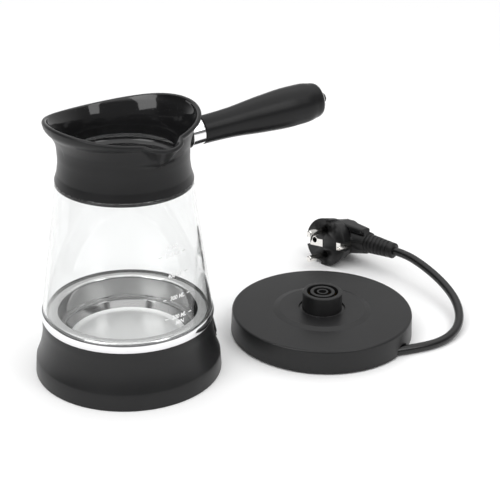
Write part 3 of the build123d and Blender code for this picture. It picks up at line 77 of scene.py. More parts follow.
POT = middle("trim_ring")
BASE = middle("base_top")
AT_POT = Matrix.Translation(POT)
AT_BASE = Matrix.Translation(BASE)
HANDLE_AZIMUTH = 30.0
SPOUT_AZIMUTH = -53.5


def length(label, about, default):
    """A size that a user may change, in metres."""
    return FloatProperty(
        name=label, description=about, default=default, unit="LENGTH", subtype="DISTANCE"
    )


def turn(label, about, default):
    """An angle that a user may change, kept in radians and given in degrees."""
    return FloatProperty(name=label, description=about, default=radians(default), subtype="ANGLE")


def share(label, about, default):
    """A number from 0 to 1 that a user may change."""
    return FloatProperty(
        name=label, description=about, default=default, min=0, max=1, subtype="FACTOR"
    )


def colour(label, about, default):
    """A colour that a user may change."""
    return FloatVectorProperty(
        name=label, description=about, default=default, size=3, min=0, max=1, subtype="COLOR"
    )


# ---------------------------------------------------------------- sizes and colours


class PotSizes(PropertyGroup):
    """Heater housing, pan, trim ring and glass."""

    foot_radius: length("Foot radius", "Radius of the housing on the table", 59.0 * MM)
    band_radius: length("Band radius", "Radius where the housing starts to curve in", 58.2 * MM)
    band_height: length("Band height", "Height where the housing starts to curve in", 10.5 * MM)
    throat_radius: length("Throat radius", "Radius of the housing half way up its curve", 54.5 * MM)
    top_radius: length("Top radius", "Radius of the housing under the trim ring", 53.5 * MM)
    top_height: length("Housing height", "Height of the housing", 36.8 * MM)
    wall: length("Housing wall", "Wall of the housing", 2.4 * MM)
    trim_radius: length("Trim radius", "Radius of the bright ring round the glass", 54.0 * MM)
    trim_height: length("Trim height", "Height of the bright ring", 5.5 * MM)
    trim_wall: length("Trim wall", "Wall of the bright ring", 0.8 * MM)
    trim_crown: length("Trim crown", "How far the bright ring bulges", 0.55 * MM)
    sheet: length("Pan sheet", "Thickness of the pan's sheet", 0.8 * MM)
    pan_floor: length("Pan floor", "Height of the pan's floor", 20.6 * MM)
    pan_floor_radius: length("Pan floor radius", "Radius of the pan's flat floor", 35.0 * MM)
    pan_step_radius: length("Pan step radius", "Radius of the step in the pan's wall", 41.6 * MM)
    pan_step: length("Pan step", "Height of the step in the pan's wall", 27.5 * MM)
    pan_wall_radius: length("Pan wall radius", "Inner radius of the pan's upright wall", 43.2 * MM)
    pan_lip: length("Pan lip", "Height of the pan's rolled lip", 42.3 * MM)
    pan_lip_radius: length("Pan lip radius", "Outer radius of the rolled lip", 49.4 * MM)
    pan_flange_radius: length("Pan flange radius", "Radius of the flange under glass", 52.6 * MM)
    glass_radius: length("Glass radius", "Radius of the glass at its foot", 53.0 * MM)
    glass_foot: length("Glass foot", "Height of the glass's lower edge", 39.0 * MM)
    glass_wall: length("Glass wall", "Thickness of the glass", 2.3 * MM)
    shoulder_radius: length("Shoulder radius", "Radius of the glass under the collar", 41.9 * MM)
    shoulder_height: length("Shoulder height", "Height of the glass under the collar", 128.0 * MM)
    neck_radius: length("Neck radius", "Radius of the glass neck inside the collar", 37.4 * MM)
    neck_top: length("Neck top", "Height of the top of the glass", 135.5 * MM)


class MarkSizes(PropertyGroup):
    """Volume marks printed on the glass."""

    azimuth: turn("Azimuth", "Middle of the marks round the pot", -48.2)
    letter: length("Letter height", "Height of a capital letter", 2.5 * MM)
    slant: share("Slant", "Forward lean of the letters", 0.22)
    dash: length("Dash", "Length of the dash beside a figure", 2.3 * MM)
    stroke: length("Stroke", "Width of the dash's line", 0.5 * MM)
    half_span: length("Half span", "From the middle of a mark to the end of its dash", 10.0 * MM)
    boldness: length("Boldness", "How much the letters' strokes are thickened", 0.09 * MM)
    film: length("Print film", "Thickness of the print", 0.03 * MM)


class CollarSizes(PropertyGroup):
    """Collar with the spout, and its pad for the handle."""

    waist: length("Waist height", "Height above which the collar opens out", 141.0 * MM)
    foot_radius: length("Foot radius", "Radius of the collar over the glass", 42.1 * MM)
    lean: turn("Lean", "Lean of the lip towards the handle", 2.7)
    shift: length("Shift", "Shift of the lip away from the handle", 0.5 * MM)
    sleeve_radius: length("Sleeve radius", "Radius of the sleeve inside the glass neck", 34.0 * MM)
    sleeve_low: length("Sleeve low", "Height of the sleeve's lower edge", 127.0 * MM)
    ledge_height: length("Ledge height", "Height of the ledge over the glass", 136.5 * MM)
    rim_azimuth: turn("Rim azimuth", "Direction of the rim's long curve", 37.5)
    rim_low: length("Rim low", "Height of the rim beside the spout", 163.2 * MM)
    spout_start: length("Spout start", "Height where the beak leaves the neck", 147.0 * MM)
    spout_reach: length("Spout reach", "From the pot's axis to the beak's tip", 54.9 * MM)
    spout_tip: length("Spout tip", "Height of the beak's tip", 162.3 * MM)
    fold: length("Fold", "Softness of the folds beside the beak", 4.2 * MM)


class HandleSizes(PropertyGroup):
    """Ferrule, grip, end cap and end button, along the handle's own axis."""

    tilt: turn("Tilt", "Rise of the handle", 4.8)
    seat_out: length("Seat out", "From the pot's axis to the handle's seat", 43.0 * MM)
    seat_up: length("Seat height", "Height of the handle's seat", 148.9 * MM)
    pad_radius: length("Pad radius", "Radius of the collar's pad", 8.9 * MM)
    ferrule_radius: length("Ferrule radius", "Radius of the bright ferrule", 8.3 * MM)
    ferrule_length: length("Ferrule length", "Length of the bright ferrule", 8.5 * MM)
    front_radius: length("Front radius", "Radius of the grip at the ferrule", 8.7 * MM)
    full_radius: length("Full radius", "Radius of the grip at its thickest", 12.7 * MM)
    full_at: length("Full at", "From the grip's front to its thickest place", 66.0 * MM)
    end_radius: length("End radius", "Radius of the grip at the end cap", 9.2 * MM)
    grip_length: length("Grip length", "Length of the grip", 84.6 * MM)
    cap_rise: length("Cap rise", "Rise of the end cap's dome", 3.4 * MM)
    button_radius: length("Button radius", "Radius of the end button", 3.2 * MM)
    button_rise: length("Button rise", "Rise of the button over the end cap", 2.0 * MM)


class BaseSizes(PropertyGroup):
    """Power base and its connector tower."""

    top_radius: length("Top radius", "Radius of the base's top", 60.0 * MM)
    foot_radius: length("Foot radius", "Radius of the base's skirt at its foot", 60.6 * MM)
    top: length("Top", "Height of the base's top", 16.65 * MM)
    skirt: length("Skirt", "Gap under the skirt", 1.0 * MM)
    edge: length("Edge", "Round of the top edge", 1.6 * MM)
    wall: length("Wall", "Wall of the base", 2.2 * MM)
    plateau: length("Plateau", "Height of the ring round the tower", 17.85 * MM)
    plateau_radius: length("Plateau radius", "Radius of the ring round the tower", 28.6 * MM)
    plateau_foot: length("Plateau foot", "Radius of the ring's slope at its foot", 32.7 * MM)
    moat: length("Moat", "Radius of the recess round the tower", 15.4 * MM)
    tower_radius: length("Tower radius", "Radius of the connector tower", 13.2 * MM)
    tower_top: length("Tower top", "Height of the connector tower", 29.65 * MM)
    tower_edge: length("Tower edge", "Chamfer of the tower's top", 0.9 * MM)
    groove_depth: length("Groove depth", "Depth of the grooves in the tower", 9.5 * MM)
    notch_width: length("Notch width", "Width of the cord's way out", 8.4 * MM)
    notch_height: length("Notch height", "Height of the cord's way out", 7.6 * MM)


class CordSizes(PropertyGroup):
    """Mains cord on the table."""

    diameter: length("Diameter", "Diameter of the cord", 6.0 * MM)
    run: length("Length", "Length of the cord from the base to the plug's sleeve", 153.2 * MM)


class FinishColours(PropertyGroup):
    """Colours of the finishes."""

    housing: colour("Housing black", "Moulded black of the housing", (0.0130, 0.0130, 0.0135))
    collar: colour("Collar black", "Moulded black of the collar", (0.0120, 0.0120, 0.0125))
    grip: colour("Grip black", "Moulded black of the grip", (0.0110, 0.0110, 0.0115))
    base: colour("Base black", "Moulded black of the power base", (0.0130, 0.0130, 0.0134))
    plug: colour("Plug black", "Moulded black of the plug", (0.0105, 0.0105, 0.0108))
    cord: colour("Cord black", "Black of the cord's sheath", (0.0100, 0.0100, 0.0102))
    chrome: colour("Chrome", "Bright plating", (0.86, 0.86, 0.87))
    steel: colour("Steel", "Polished pan", (0.76, 0.76, 0.755))
    brass: colour("Brass", "Contacts", (0.78, 0.60, 0.30))
    glass: colour("Glass", "Clear glass", (0.920, 0.926, 0.925))
    lens: colour("Lens", "Unlit red lens", (0.42, 0.020, 0.012))
    print_white: colour("Print white", "Printed volume marks", (0.92, 0.92, 0.92))
    floor: colour("Floor", "Pale floor", (0.97, 0.97, 0.97))


# ---------------------------------------------------------------- outlines


def rounded(*corners, closed=True):
    """Points of an outline from (radius, height, round) corners, with an arc at each round one."""
    places = [Vector(corner[:2]) for corner in corners]
    points = []
    for index, corner in enumerate(corners):
        at_end = not closed and index in (0, len(corners) - 1)
        bend = corner[2] if len(corner) > 2 and not at_end else 0
        here = places[index]
        if bend == 0:
            points.append(here)
            continue
        back = places[index - 1] - here
        on = places[(index + 1) % len(places)] - here
        half = back.angle(on) / 2
        reach = min(bend / tan(half), back.length / 2, on.length / 2)
        centre = here + (back.normalized() + on.normalized()).normalized() * reach / cos(half)
        start = here + back.normalized() * reach - centre
        stop = here + on.normalized() * reach - centre
        for step in range(ROUND_STEPS + 1):
            way = start.slerp(stop, step / ROUND_STEPS).normalized()
            points.append(centre + way * start.length)
    return points


def between(start, out, stop, into, t):
    """Place at a share of the way along a smooth curve, which leaves and arrives at given speeds."""
    return (
        start * (2 * t**3 - 3 * t**2 + 1)
        + out * (t**3 - 2 * t**2 + t)
        + stop * (3 * t**2 - 2 * t**3)
        + into * (t**3 - t**2)
    )


def flowing(points, steps=10, leave=None, arrive=None):
    """Smooth line through points, which leaves and arrives in the directions given."""
    places = [Vector(point) for point in points]
    ways = [Vector(leave or places[1] - places[0]).normalized()]
    for before, here, after in zip(places, places[1:], places[2:]):
        first = (here - before).length
        second = (after - here).length
        way = (here - before) * second / first + (after - here) * first / second
        ways.append(way / (first + second))
    ways.append(Vector(arrive or places[-1] - places[-2]).normalized())
    line = [places[0]]
    for start, stop, out, into in zip(places, places[1:], ways, ways[1:]):
        gap = (stop - start).length
        for step in range(1, steps + 1):
            line.append(between(start, out * gap, stop, into * gap, step / steps))
    return line


def walled(points, wall):
    """Outline of a sheet that follows a line and has a wall on its right-hand side."""
    other = []
    for index, here in enumerate(points):
        before = points[max(index - 1, 0)]
        after = points[min(index + 1, len(points) - 1)]
        way = (after - before).normalized()
        other.append(here + Vector((way.y, -way.x)) * wall)
    return list(points) + other[::-1]


# ---------------------------------------------------------------- shapes


def lathe(points, closed=True, steps=TURN_STEPS):
    """Outline of (radius, height) points turned round the z axis."""
    shape = bmesh.new()
    corners = [shape.verts.new((point[0], 0, point[1])) for point in points]
    runs = list(zip(corners, corners[1:]))
    if closed:
        runs.append((corners[-1], corners[0]))
    edges = [shape.edges.new(run) for run in runs]
    bmesh.ops.spin(
        shape,
        geom=corners + edges,
        axis=(0, 0, 1),
        cent=(0, 0, 0),
        angle=2 * pi,
        steps=steps,
        use_merge=True,
    )
    bmesh.ops.remove_doubles(shape, verts=shape.verts, dist=MERGE)
    bmesh.ops.recalc_face_normals(shape, faces=shape.faces)
    return shape


def moved(shape, matrix):
    """The same shape in its place."""
    bmesh.ops.transform(shape, matrix=matrix, verts=shape.verts)
    return shape


def put(name, shape, slot, body, *nodes, finish=None, sharp=SHARP_TURN):
    """Piece made from a shape, which rides on its body and stands in for its nodes."""
    mesh = bpy.data.meshes.new(name)
    shape.to_mesh(mesh)
    shape.free()
    mesh.shade_smooth()
    mesh.set_sharp_from_angle(angle=sharp)
    mesh.materials.append(bpy.data.materials[finish or slot])
    piece = bpy.data.objects.new(name, mesh)
    bpy.context.scene.collection.objects.link(piece)
    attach(piece, body)
    if nodes:
        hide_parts(*nodes)
    return piece


def copied(node, name, slot, body, soften=0.0, sharp=SHARP_TURN):
    """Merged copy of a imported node, in its place, with its sharp edges softened."""
    shape = bmesh.new()
    shape.from_mesh(frame["nodes"][node].data)
    bmesh.ops.remove_doubles(shape, verts=shape.verts, dist=MERGE)
    if soften:
        bmesh.ops.dissolve_limit(
            shape,
            angle_limit=FLAT_TURN,
            use_dissolve_boundaries=False,
            verts=shape.verts,
            edges=shape.edges,
        )
        edges = [edge for edge in shape.edges if edge.calc_face_angle(0) > sharp]
        bmesh.ops.bevel(
            shape,
            geom=edges,
            offset=soften,
            offset_type="OFFSET",
            affect="EDGES",
            segments=3,
            profile=0.5,
            material=-1,
            clamp_overlap=True,
        )
    return put(name, shape, slot, body, node, sharp=sharp)


def cut(piece, cutter):
    """Takes a cutter's shape out of a piece for good."""
    tool = bpy.data.objects.new("cutter", bpy.data.meshes.new("cutter"))
    cutter.to_mesh(tool.data)
    cutter.free()
    bpy.context.scene.collection.objects.link(tool)
    knife = piece.modifiers.new("cut", "BOOLEAN")
    knife.operation = "DIFFERENCE"
    knife.solver = "EXACT"
    knife.object = tool
    bpy.context.view_layer.update()
    depsgraph = bpy.context.evaluated_depsgraph_get()
    result = bpy.data.meshes.new_from_object(piece.evaluated_get(depsgraph))
    piece.modifiers.remove(knife)
    piece.data = result
    bpy.data.objects.remove(tool)
    result.shade_smooth()
    result.set_sharp_from_angle(angle=SHARP_TURN)


def heading(azimuth):
    """Level direction at an azimuth in degrees."""
    return Vector((cos(radians(azimuth)), sin(radians(azimuth)), 0))


def handle_place():
    """Matrix that stands the z axis along the handle, from its seat."""
    sizes = bpy.context.scene.handle_sizes
    way = heading(HANDLE_AZIMUTH) * cos(sizes.tilt) + Vector((0, 0, sin(sizes.tilt)))
    seat = POT + heading(HANDLE_AZIMUTH) * sizes.seat_out + Vector((0, 0, sizes.seat_up))
    return Matrix.Translation(seat) @ way.to_track_quat("Z", "Y").to_matrix().to_4x4()


# ---------------------------------------------------------------- shared effects of the finishes


def new_group(name, inputs, outputs):
    """Shader group with named sockets, and its input and output nodes."""
    group = bpy.data.node_groups.new(name, "ShaderNodeTree")
    for label, kind, default in inputs:
        socket = group.interface.new_socket(name=label, in_out="INPUT", socket_type=kind)
        socket.default_value = default
    for label, kind in outputs:
        group.interface.new_socket(name=label, in_out="OUTPUT", socket_type=kind)
    return group, group.nodes.new("NodeGroupInput"), group.nodes.new("NodeGroupOutput")


def sum_node(tree, operation, *inputs):
    """Math node on sockets or plain numbers."""
    node = tree.nodes.new("ShaderNodeMath")
    node.operation = operation
    for socket, value in zip(node.inputs, inputs):
        if isinstance(value, bpy.types.NodeSocket):
            tree.links.new(value, socket)
        else:
            socket.default_value = value
    return node.outputs[0]


def noise_node(tree, scale, detail=3.0, roughness=0.5):
    """Noise on Object coordinates, with its scale a socket or a number."""
    place = tree.nodes.new("ShaderNodeTexCoord")
    noise = tree.nodes.new("ShaderNodeTexNoise")
    noise.inputs["Detail"].default_value = detail
    noise.inputs["Roughness"].default_value = roughness
    tree.links.new(place.outputs["Object"], noise.inputs["Vector"])
    if isinstance(scale, bpy.types.NodeSocket):
        tree.links.new(scale, noise.inputs["Scale"])
    else:
        noise.inputs["Scale"].default_value = scale
    return noise


def ranged(tree, value, given, wanted):
    """Value eased from one range to another."""
    node = tree.nodes.new("ShaderNodeMapRange")
    node.interpolation_type = "SMOOTHSTEP"
    tree.links.new(value, node.inputs["Value"])
    for label, number in zip(("From Min", "From Max", "To Min", "To Max"), (*given, *wanted)):
        node.inputs[label].default_value = number
    return node.outputs[0]


def make_tone_group():
    """Colour that drifts a little over the surface, darker in the drifts."""
    inputs = (
        ("Colour", "NodeSocketColor", (0.5, 0.5, 0.5, 1)),
        ("Drift", "NodeSocketFloat", 0.1),
        ("Scale", "NodeSocketFloat", 60.0),
    )
    group, given, made = new_group("surface_tone", inputs, (("Colour", "NodeSocketColor"),))
    noise = noise_node(group, given.outputs["Scale"], 4.0, 0.6)
    lift = sum_node(group, "SUBTRACT", noise.outputs["Fac"], 0.5)
    drift = sum_node(group, "MULTIPLY", lift, given.outputs["Drift"])
    gain = sum_node(group, "ADD", sum_node(group, "MULTIPLY", drift, 2.0), 1.0)
    scaled = group.nodes.new("ShaderNodeVectorMath")
    scaled.operation = "SCALE"
    group.links.new(given.outputs["Colour"], scaled.inputs[0])
    group.links.new(gain, scaled.inputs["Scale"])
    group.links.new(scaled.outputs[0], made.inputs["Colour"])


def make_sheen_group():
    """Roughness with faint handling marks, from wide smears and fine specks."""
    inputs = (
        ("Roughness", "NodeSocketFloat", 0.4),
        ("Spread", "NodeSocketFloat", 0.06),
        ("Scale", "NodeSocketFloat", 40.0),
    )
    group, given, made = new_group("handled_sheen", inputs, (("Roughness", "NodeSocketFloat"),))
    wide = noise_node(group, given.outputs["Scale"], 2.0, 0.5)
    fine = noise_node(group, sum_node(group, "MULTIPLY", given.outputs["Scale"], 14.0), 3.0, 0.6)
    both = sum_node(group, "ADD", wide.outputs["Fac"], fine.outputs["Fac"])
    centred = sum_node(group, "SUBTRACT", both, 1.0)
    swing = sum_node(group, "MULTIPLY", centred, given.outputs["Spread"])
    total = sum_node(group, "ADD", given.outputs["Roughness"], swing)
    group.links.new(sum_node(group, "MAXIMUM", total, 0.02), made.inputs["Roughness"])


def make_grain_group():
    """Height of a moulded surface's fine spark-eroded grain."""
    inputs = (("Scale", "NodeSocketFloat", 1800.0),)
    group, given, made = new_group("moulded_grain", inputs, (("Height", "NodeSocketFloat"),))
    noise = noise_node(group, given.outputs["Scale"], 2.0, 0.55)
    pits = group.nodes.new("ShaderNodeTexVoronoi")
    place = group.nodes.new("ShaderNodeTexCoord")
    group.links.new(place.outputs["Object"], pits.inputs["Vector"])
    group.links.new(given.outputs["Scale"], pits.inputs["Scale"])
    shallow = sum_node(group, "MULTIPLY", pits.outputs["Distance"], 0.5)
    height = sum_node(group, "ADD", noise.outputs["Fac"], shallow)
    group.links.new(height, made.inputs["Height"])


def make_turned_group():
    """Height and shade of fine rings round an upright axis, as a polishing wheel leaves them."""
    inputs = (
        ("Centre", "NodeSocketVector", (0, 0, 0)),
        ("Rings", "NodeSocketFloat", 900.0),
    )
    outputs = (("Height", "NodeSocketFloat"), ("Mask", "NodeSocketFloat"))
    group, given, made = new_group("turned_rings", inputs, outputs)
    place = group.nodes.new("ShaderNodeTexCoord")
    away = group.nodes.new("ShaderNodeVectorMath")
    away.operation = "SUBTRACT"
    group.links.new(place.outputs["Object"], away.inputs[0])
    group.links.new(given.outputs["Centre"], away.inputs[1])
    parts = group.nodes.new("ShaderNodeSeparateXYZ")
    group.links.new(away.outputs[0], parts.inputs[0])
    flat = group.nodes.new("ShaderNodeCombineXYZ")
    group.links.new(parts.outputs["X"], flat.inputs["X"])
    group.links.new(parts.outputs["Y"], flat.inputs["Y"])
    radius = group.nodes.new("ShaderNodeVectorMath")
    radius.operation = "LENGTH"
    group.links.new(flat.outputs[0], radius.inputs[0])
    along = group.nodes.new("ShaderNodeCombineXYZ")
    group.links.new(radius.outputs["Value"], along.inputs["X"])
    noise = group.nodes.new("ShaderNodeTexNoise")
    noise.inputs["Detail"].default_value = 4.0
    group.links.new(along.outputs[0], noise.inputs["Vector"])
    group.links.new(given.outputs["Rings"], noise.inputs["Scale"])
    group.links.new(noise.outputs["Fac"], made.inputs["Height"])
    group.links.new(noise.outputs["Fac"], made.inputs["Mask"])


def make_stripe_group():
    """Second colour that runs round a wire in a stripe."""
    inputs = (
        ("First", "NodeSocketColor", (0, 0.3, 0, 1)),
        ("Second", "NodeSocketColor", (0.8, 0.7, 0, 1)),
        ("Scale", "NodeSocketFloat", 300.0),
    )
    group, given, made = new_group("wire_stripe", inputs, (("Colour", "NodeSocketColor"),))
    place = group.nodes.new("ShaderNodeTexCoord")
    wave = group.nodes.new("ShaderNodeTexWave")
    wave.inputs["Distortion"].default_value = 0.0
    group.links.new(place.outputs["Object"], wave.inputs["Vector"])
    group.links.new(given.outputs["Scale"], wave.inputs["Scale"])
    mix = group.nodes.new("ShaderNodeMix")
    mix.data_type = "RGBA"
    group.links.new(sum_node(group, "GREATER_THAN", wave.outputs["Fac"], 0.62), mix.inputs[0])
    group.links.new(given.outputs["First"], mix.inputs[6])
    group.links.new(given.outputs["Second"], mix.inputs[7])
    group.links.new(mix.outputs[2], made.inputs["Colour"])


# ---------------------------------------------------------------- finishes


def shader_of(name):
    """Node tree and main shader of a material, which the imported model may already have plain."""
    finish = bpy.data.materials.get(name) or bpy.data.materials.new(name)
    finish.use_nodes = True
    tree = finish.node_tree
    tree.nodes.clear()
    shader = tree.nodes.new("ShaderNodeBsdfPrincipled")
    output = tree.nodes.new("ShaderNodeOutputMaterial")
    tree.links.new(shader.outputs["BSDF"], output.inputs["Surface"])
    return tree, shader


def placed(tree, group, **values):
    """Shared effect in a material, with its own values."""
    node = tree.nodes.new("ShaderNodeGroup")
    node.node_tree = bpy.data.node_groups[group]
    for label, value in values.items():
        node.inputs[label].default_value = value
    return node


def bumped(tree, shader, height, depth, strength=0.5):
    """Bump of a depth in metres on the main shader."""
    bump = tree.nodes.new("ShaderNodeBump")
    bump.inputs["Strength"].default_value = strength
    bump.inputs["Distance"].default_value = depth
    tree.links.new(height, bump.inputs["Height"])
    tree.links.new(bump.outputs["Normal"], shader.inputs["Normal"])


def toned(tree, shader, tint, drift, scale):
    """Slightly drifting base colour."""
    tone = placed(tree, "surface_tone", Colour=(*tint, 1), Drift=drift, Scale=scale)
    tree.links.new(tone.outputs["Colour"], shader.inputs["Base Color"])


def handled(tree, shader, roughness, spread, scale):
    """Roughness with faint handling marks."""
    sheen = placed(tree, "handled_sheen", Roughness=roughness, Spread=spread, Scale=scale)
    tree.links.new(sheen.outputs["Roughness"], shader.inputs["Roughness"])


def moulded(
    name,
    tint,
    roughness,
    grain=1500.0,
    depth=0.03 * MM,
    spread=0.05,
    specular=0.32,
):
    """Moulded plastic or rubber with a fine grain."""
    tree, shader = shader_of(name)
    toned(tree, shader, tint, 0.16, 55.0)
    handled(tree, shader, roughness, spread, 45.0)
    shader.inputs["Specular IOR Level"].default_value = specular
    pits = placed(tree, "moulded_grain", Scale=grain)
    bumped(tree, shader, pits.outputs["Height"], depth)


def metal(name, tint, roughness, drift=0.05, spread=0.03, grain=900.0, depth=0.004 * MM):
    """Bare or plated metal with faint marks."""
    tree, shader = shader_of(name)
    shader.inputs["Metallic"].default_value = 1.0
    toned(tree, shader, tint, drift, 70.0)
    handled(tree, shader, roughness, spread, 60.0)
    marks = placed(tree, "moulded_grain", Scale=grain)
    bumped(tree, shader, marks.outputs["Height"], depth, 0.25)


def turned_metal(name, tint, roughness, centre, rings, depth, spread=0.05):
    """Metal polished on a wheel, with fine rings round an upright axis."""
    tree, shader = shader_of(name)
    shader.inputs["Metallic"].default_value = 1.0
    toned(tree, shader, tint, 0.05, 40.0)
    lines = placed(tree, "turned_rings", Centre=centre, Rings=rings)
    sheen = placed(tree, "handled_sheen", Roughness=roughness, Spread=spread / 2, Scale=50.0)
    swing = sum_node(tree, "MULTIPLY", lines.outputs["Mask"], spread)
    total = sum_node(tree, "ADD", sheen.outputs["Roughness"], swing)
    tree.links.new(total, shader.inputs["Roughness"])
    if depth:
        bumped(tree, shader, lines.outputs["Height"], depth, 0.3)


def insulated(name, first, second=None):
    """Wire insulation, plain or with a stripe."""
    tree, shader = shader_of(name)
    other = second or first
    stripe = placed(tree, "wire_stripe", First=(*first, 1), Second=(*other, 1), Scale=330.0)
    tree.links.new(stripe.outputs["Colour"], shader.inputs["Base Color"])
    handled(tree, shader, 0.42, 0.06, 90.0)


def clear_glass(name, tint):
    """Clear glass whose shadow lets the light through."""
    tree, shader = shader_of(name)
    shader.inputs["Base Color"].default_value = (*tint, 1)
    shader.inputs["Transmission Weight"].default_value = 1.0
    shader.inputs["IOR"].default_value = 1.47
    handled(tree, shader, 0.0, 0.004, 30.0)
    path = tree.nodes.new("ShaderNodeLightPath")
    through = tree.nodes.new("ShaderNodeBsdfTransparent")
    through.inputs["Color"].default_value = (0.93, 0.94, 0.94, 1)
    mix = tree.nodes.new("ShaderNodeMixShader")
    tree.links.new(path.outputs["Is Shadow Ray"], mix.inputs["Fac"])
    tree.links.new(shader.outputs["BSDF"], mix.inputs[1])
    tree.links.new(through.outputs["BSDF"], mix.inputs[2])
    tree.links.new(mix.outputs["Shader"], tree.nodes["Material Output"].inputs["Surface"])


# Finish, share of the steel's colour and roughness of the pan's lip, wall and floor. The wall's copy
# is the same steel painted darker, as painted shade for the dark reflections on the wall, and the
# floor's copy is painted lighter, as painted light.
PAN_FINISHES = (
    ("pan_steel", 1.0, 0.10),
    ("pan_wall_steel_painted_shade", 0.42, 0.07),
    ("pan_floor_steel_painted_light", 1.2, 0.48),
)


class COFFEE_OT_finishes(Operator):
    """Make the shared effects and every finish"""

    bl_idname = "coffee_pot.finishes"
    bl_label = "Finishes"

    def execute(self, context):
        tints = context.scene.finish_colours
        for make in (
            make_tone_group,
            make_sheen_group,
            make_grain_group,
            make_turned_group,
            make_stripe_group,
        ):
            make()
        moulded("housing_black", tints.housing, 0.34, grain=1300.0, depth=0.012 * MM)
        moulded("cover_black", tints.housing, 0.55, grain=1100.0)
        moulded("collar_black", tints.collar, 0.07, depth=0.001 * MM, spread=0.02, specular=0.5)
        moulded("collar_outside", tints.collar, 0.34, grain=1400.0, depth=0.012 * MM, specular=0.22)
        moulded("grip_black", tints.grip, 0.30, grain=1300.0, depth=0.010 * MM, specular=0.20)
        moulded("plug_cap_black", tints.grip, 0.35)
        moulded("base_black", tints.base, 0.38, grain=1200.0, depth=0.012 * MM)
        moulded("connector_black", tints.base, 0.36, grain=1000.0, depth=0.012 * MM)
        moulded("switch_black", tints.base, 0.30, specular=0.5)
        moulded("rocker_black", tints.base, 0.22, depth=0.01 * MM, specular=0.5)
        moulded("plug_black", tints.plug, 0.40, grain=1300.0, depth=0.015 * MM)
        moulded("cord_black", tints.cord, 0.24, grain=1800.0, depth=0.008 * MM, specular=0.4)
        moulded("foot_rubber", tints.cord, 0.75, grain=900.0, depth=0.05 * MM)
        moulded("lens_red", tints.lens, 0.12, depth=0.01 * MM)
        moulded("seal_silicone", (0.52, 0.52, 0.50), 0.45, depth=0.02 * MM)
        moulded("cutout_brown", (0.060, 0.030, 0.016), 0.50)
        moulded("fuse_sleeve", (0.60, 0.57, 0.48), 0.85, grain=2600.0, depth=0.12 * MM)
        moulded("print_white", tints.print_white, 0.55, depth=0.01 * MM)
        metal("trim_chrome", tints.chrome, 0.06)
        metal("plug_nickel", (0.82, 0.80, 0.77), 0.14, spread=0.06)
        metal("rod_steel", (0.55, 0.55, 0.56), 0.30, spread=0.08, grain=400.0)
        metal(
            "element_steel",
            (0.30, 0.28, 0.25),
            0.50,
            drift=0.6,
            spread=0.12,
            grain=700.0,
            depth=0.02 * MM,
        )
        metal("screw_steel", (0.56, 0.56, 0.57), 0.30, spread=0.08)
        metal("contact_brass", tints.brass, 0.22, drift=0.2, spread=0.08)
        # The wall's copy of the steel is painted darker as painted shade, and the floor's copy
        # painted lighter as painted light.
        for name, gain, roughness in PAN_FINISHES:
            tint = [gain * part for part in tints.steel]
            turned_metal(name, tint, roughness, POT, 350.0, 0)
        turned_metal("heater_aluminium", (0.70, 0.70, 0.71), 0.34, POT, 1400.0, 0.010 * MM)
        insulated("wire_brown", (0.090, 0.032, 0.012))
        insulated("wire_blue", (0.010, 0.060, 0.260))
        insulated("wire_green", (0.020, 0.200, 0.030), (0.720, 0.560, 0.030))
        clear_glass("clear_glass", tints.glass)
        return {"FINISHED"}


# ---------------------------------------------------------------- stage and camera

CAMERA_PLACE = Vector((12.95 * MM, -783.55 * MM, 428.1 * MM))
CAMERA_PITCH = radians(24.58)
CAMERA_ROLL = radians(0.845)
CAMERA_LENS = 97.56
SOFTBOXES = (
    ("key_light", (-0.62, -0.66, 0.84), 0.62, 0.80, 4.4),
    ("fill_light", (0.72, -0.55, 0.84), 0.36, 0.70, 2.2),
)
# Brightness of the studio's walls: behind the pot, overhead, and behind the camera.
WALL_FAR = 0.62
WALL_OVERHEAD = 1.48
WALL_NEAR = 0.20
# Share of that left on the wall to the left.
WALL_SIDE = 0.12
# Where each of these starts and ends, as parts of the world's direction.
DEPTH_SPAN = (-0.35, 0.55)
LEFT_SPAN = (-0.92, -0.66)
OVERHEAD_SPAN = (0.55, 0.80)
LIGHT_AIM = Vector((0.0, 0.0, 0.06))
FLOOR_SIZE = 40.0


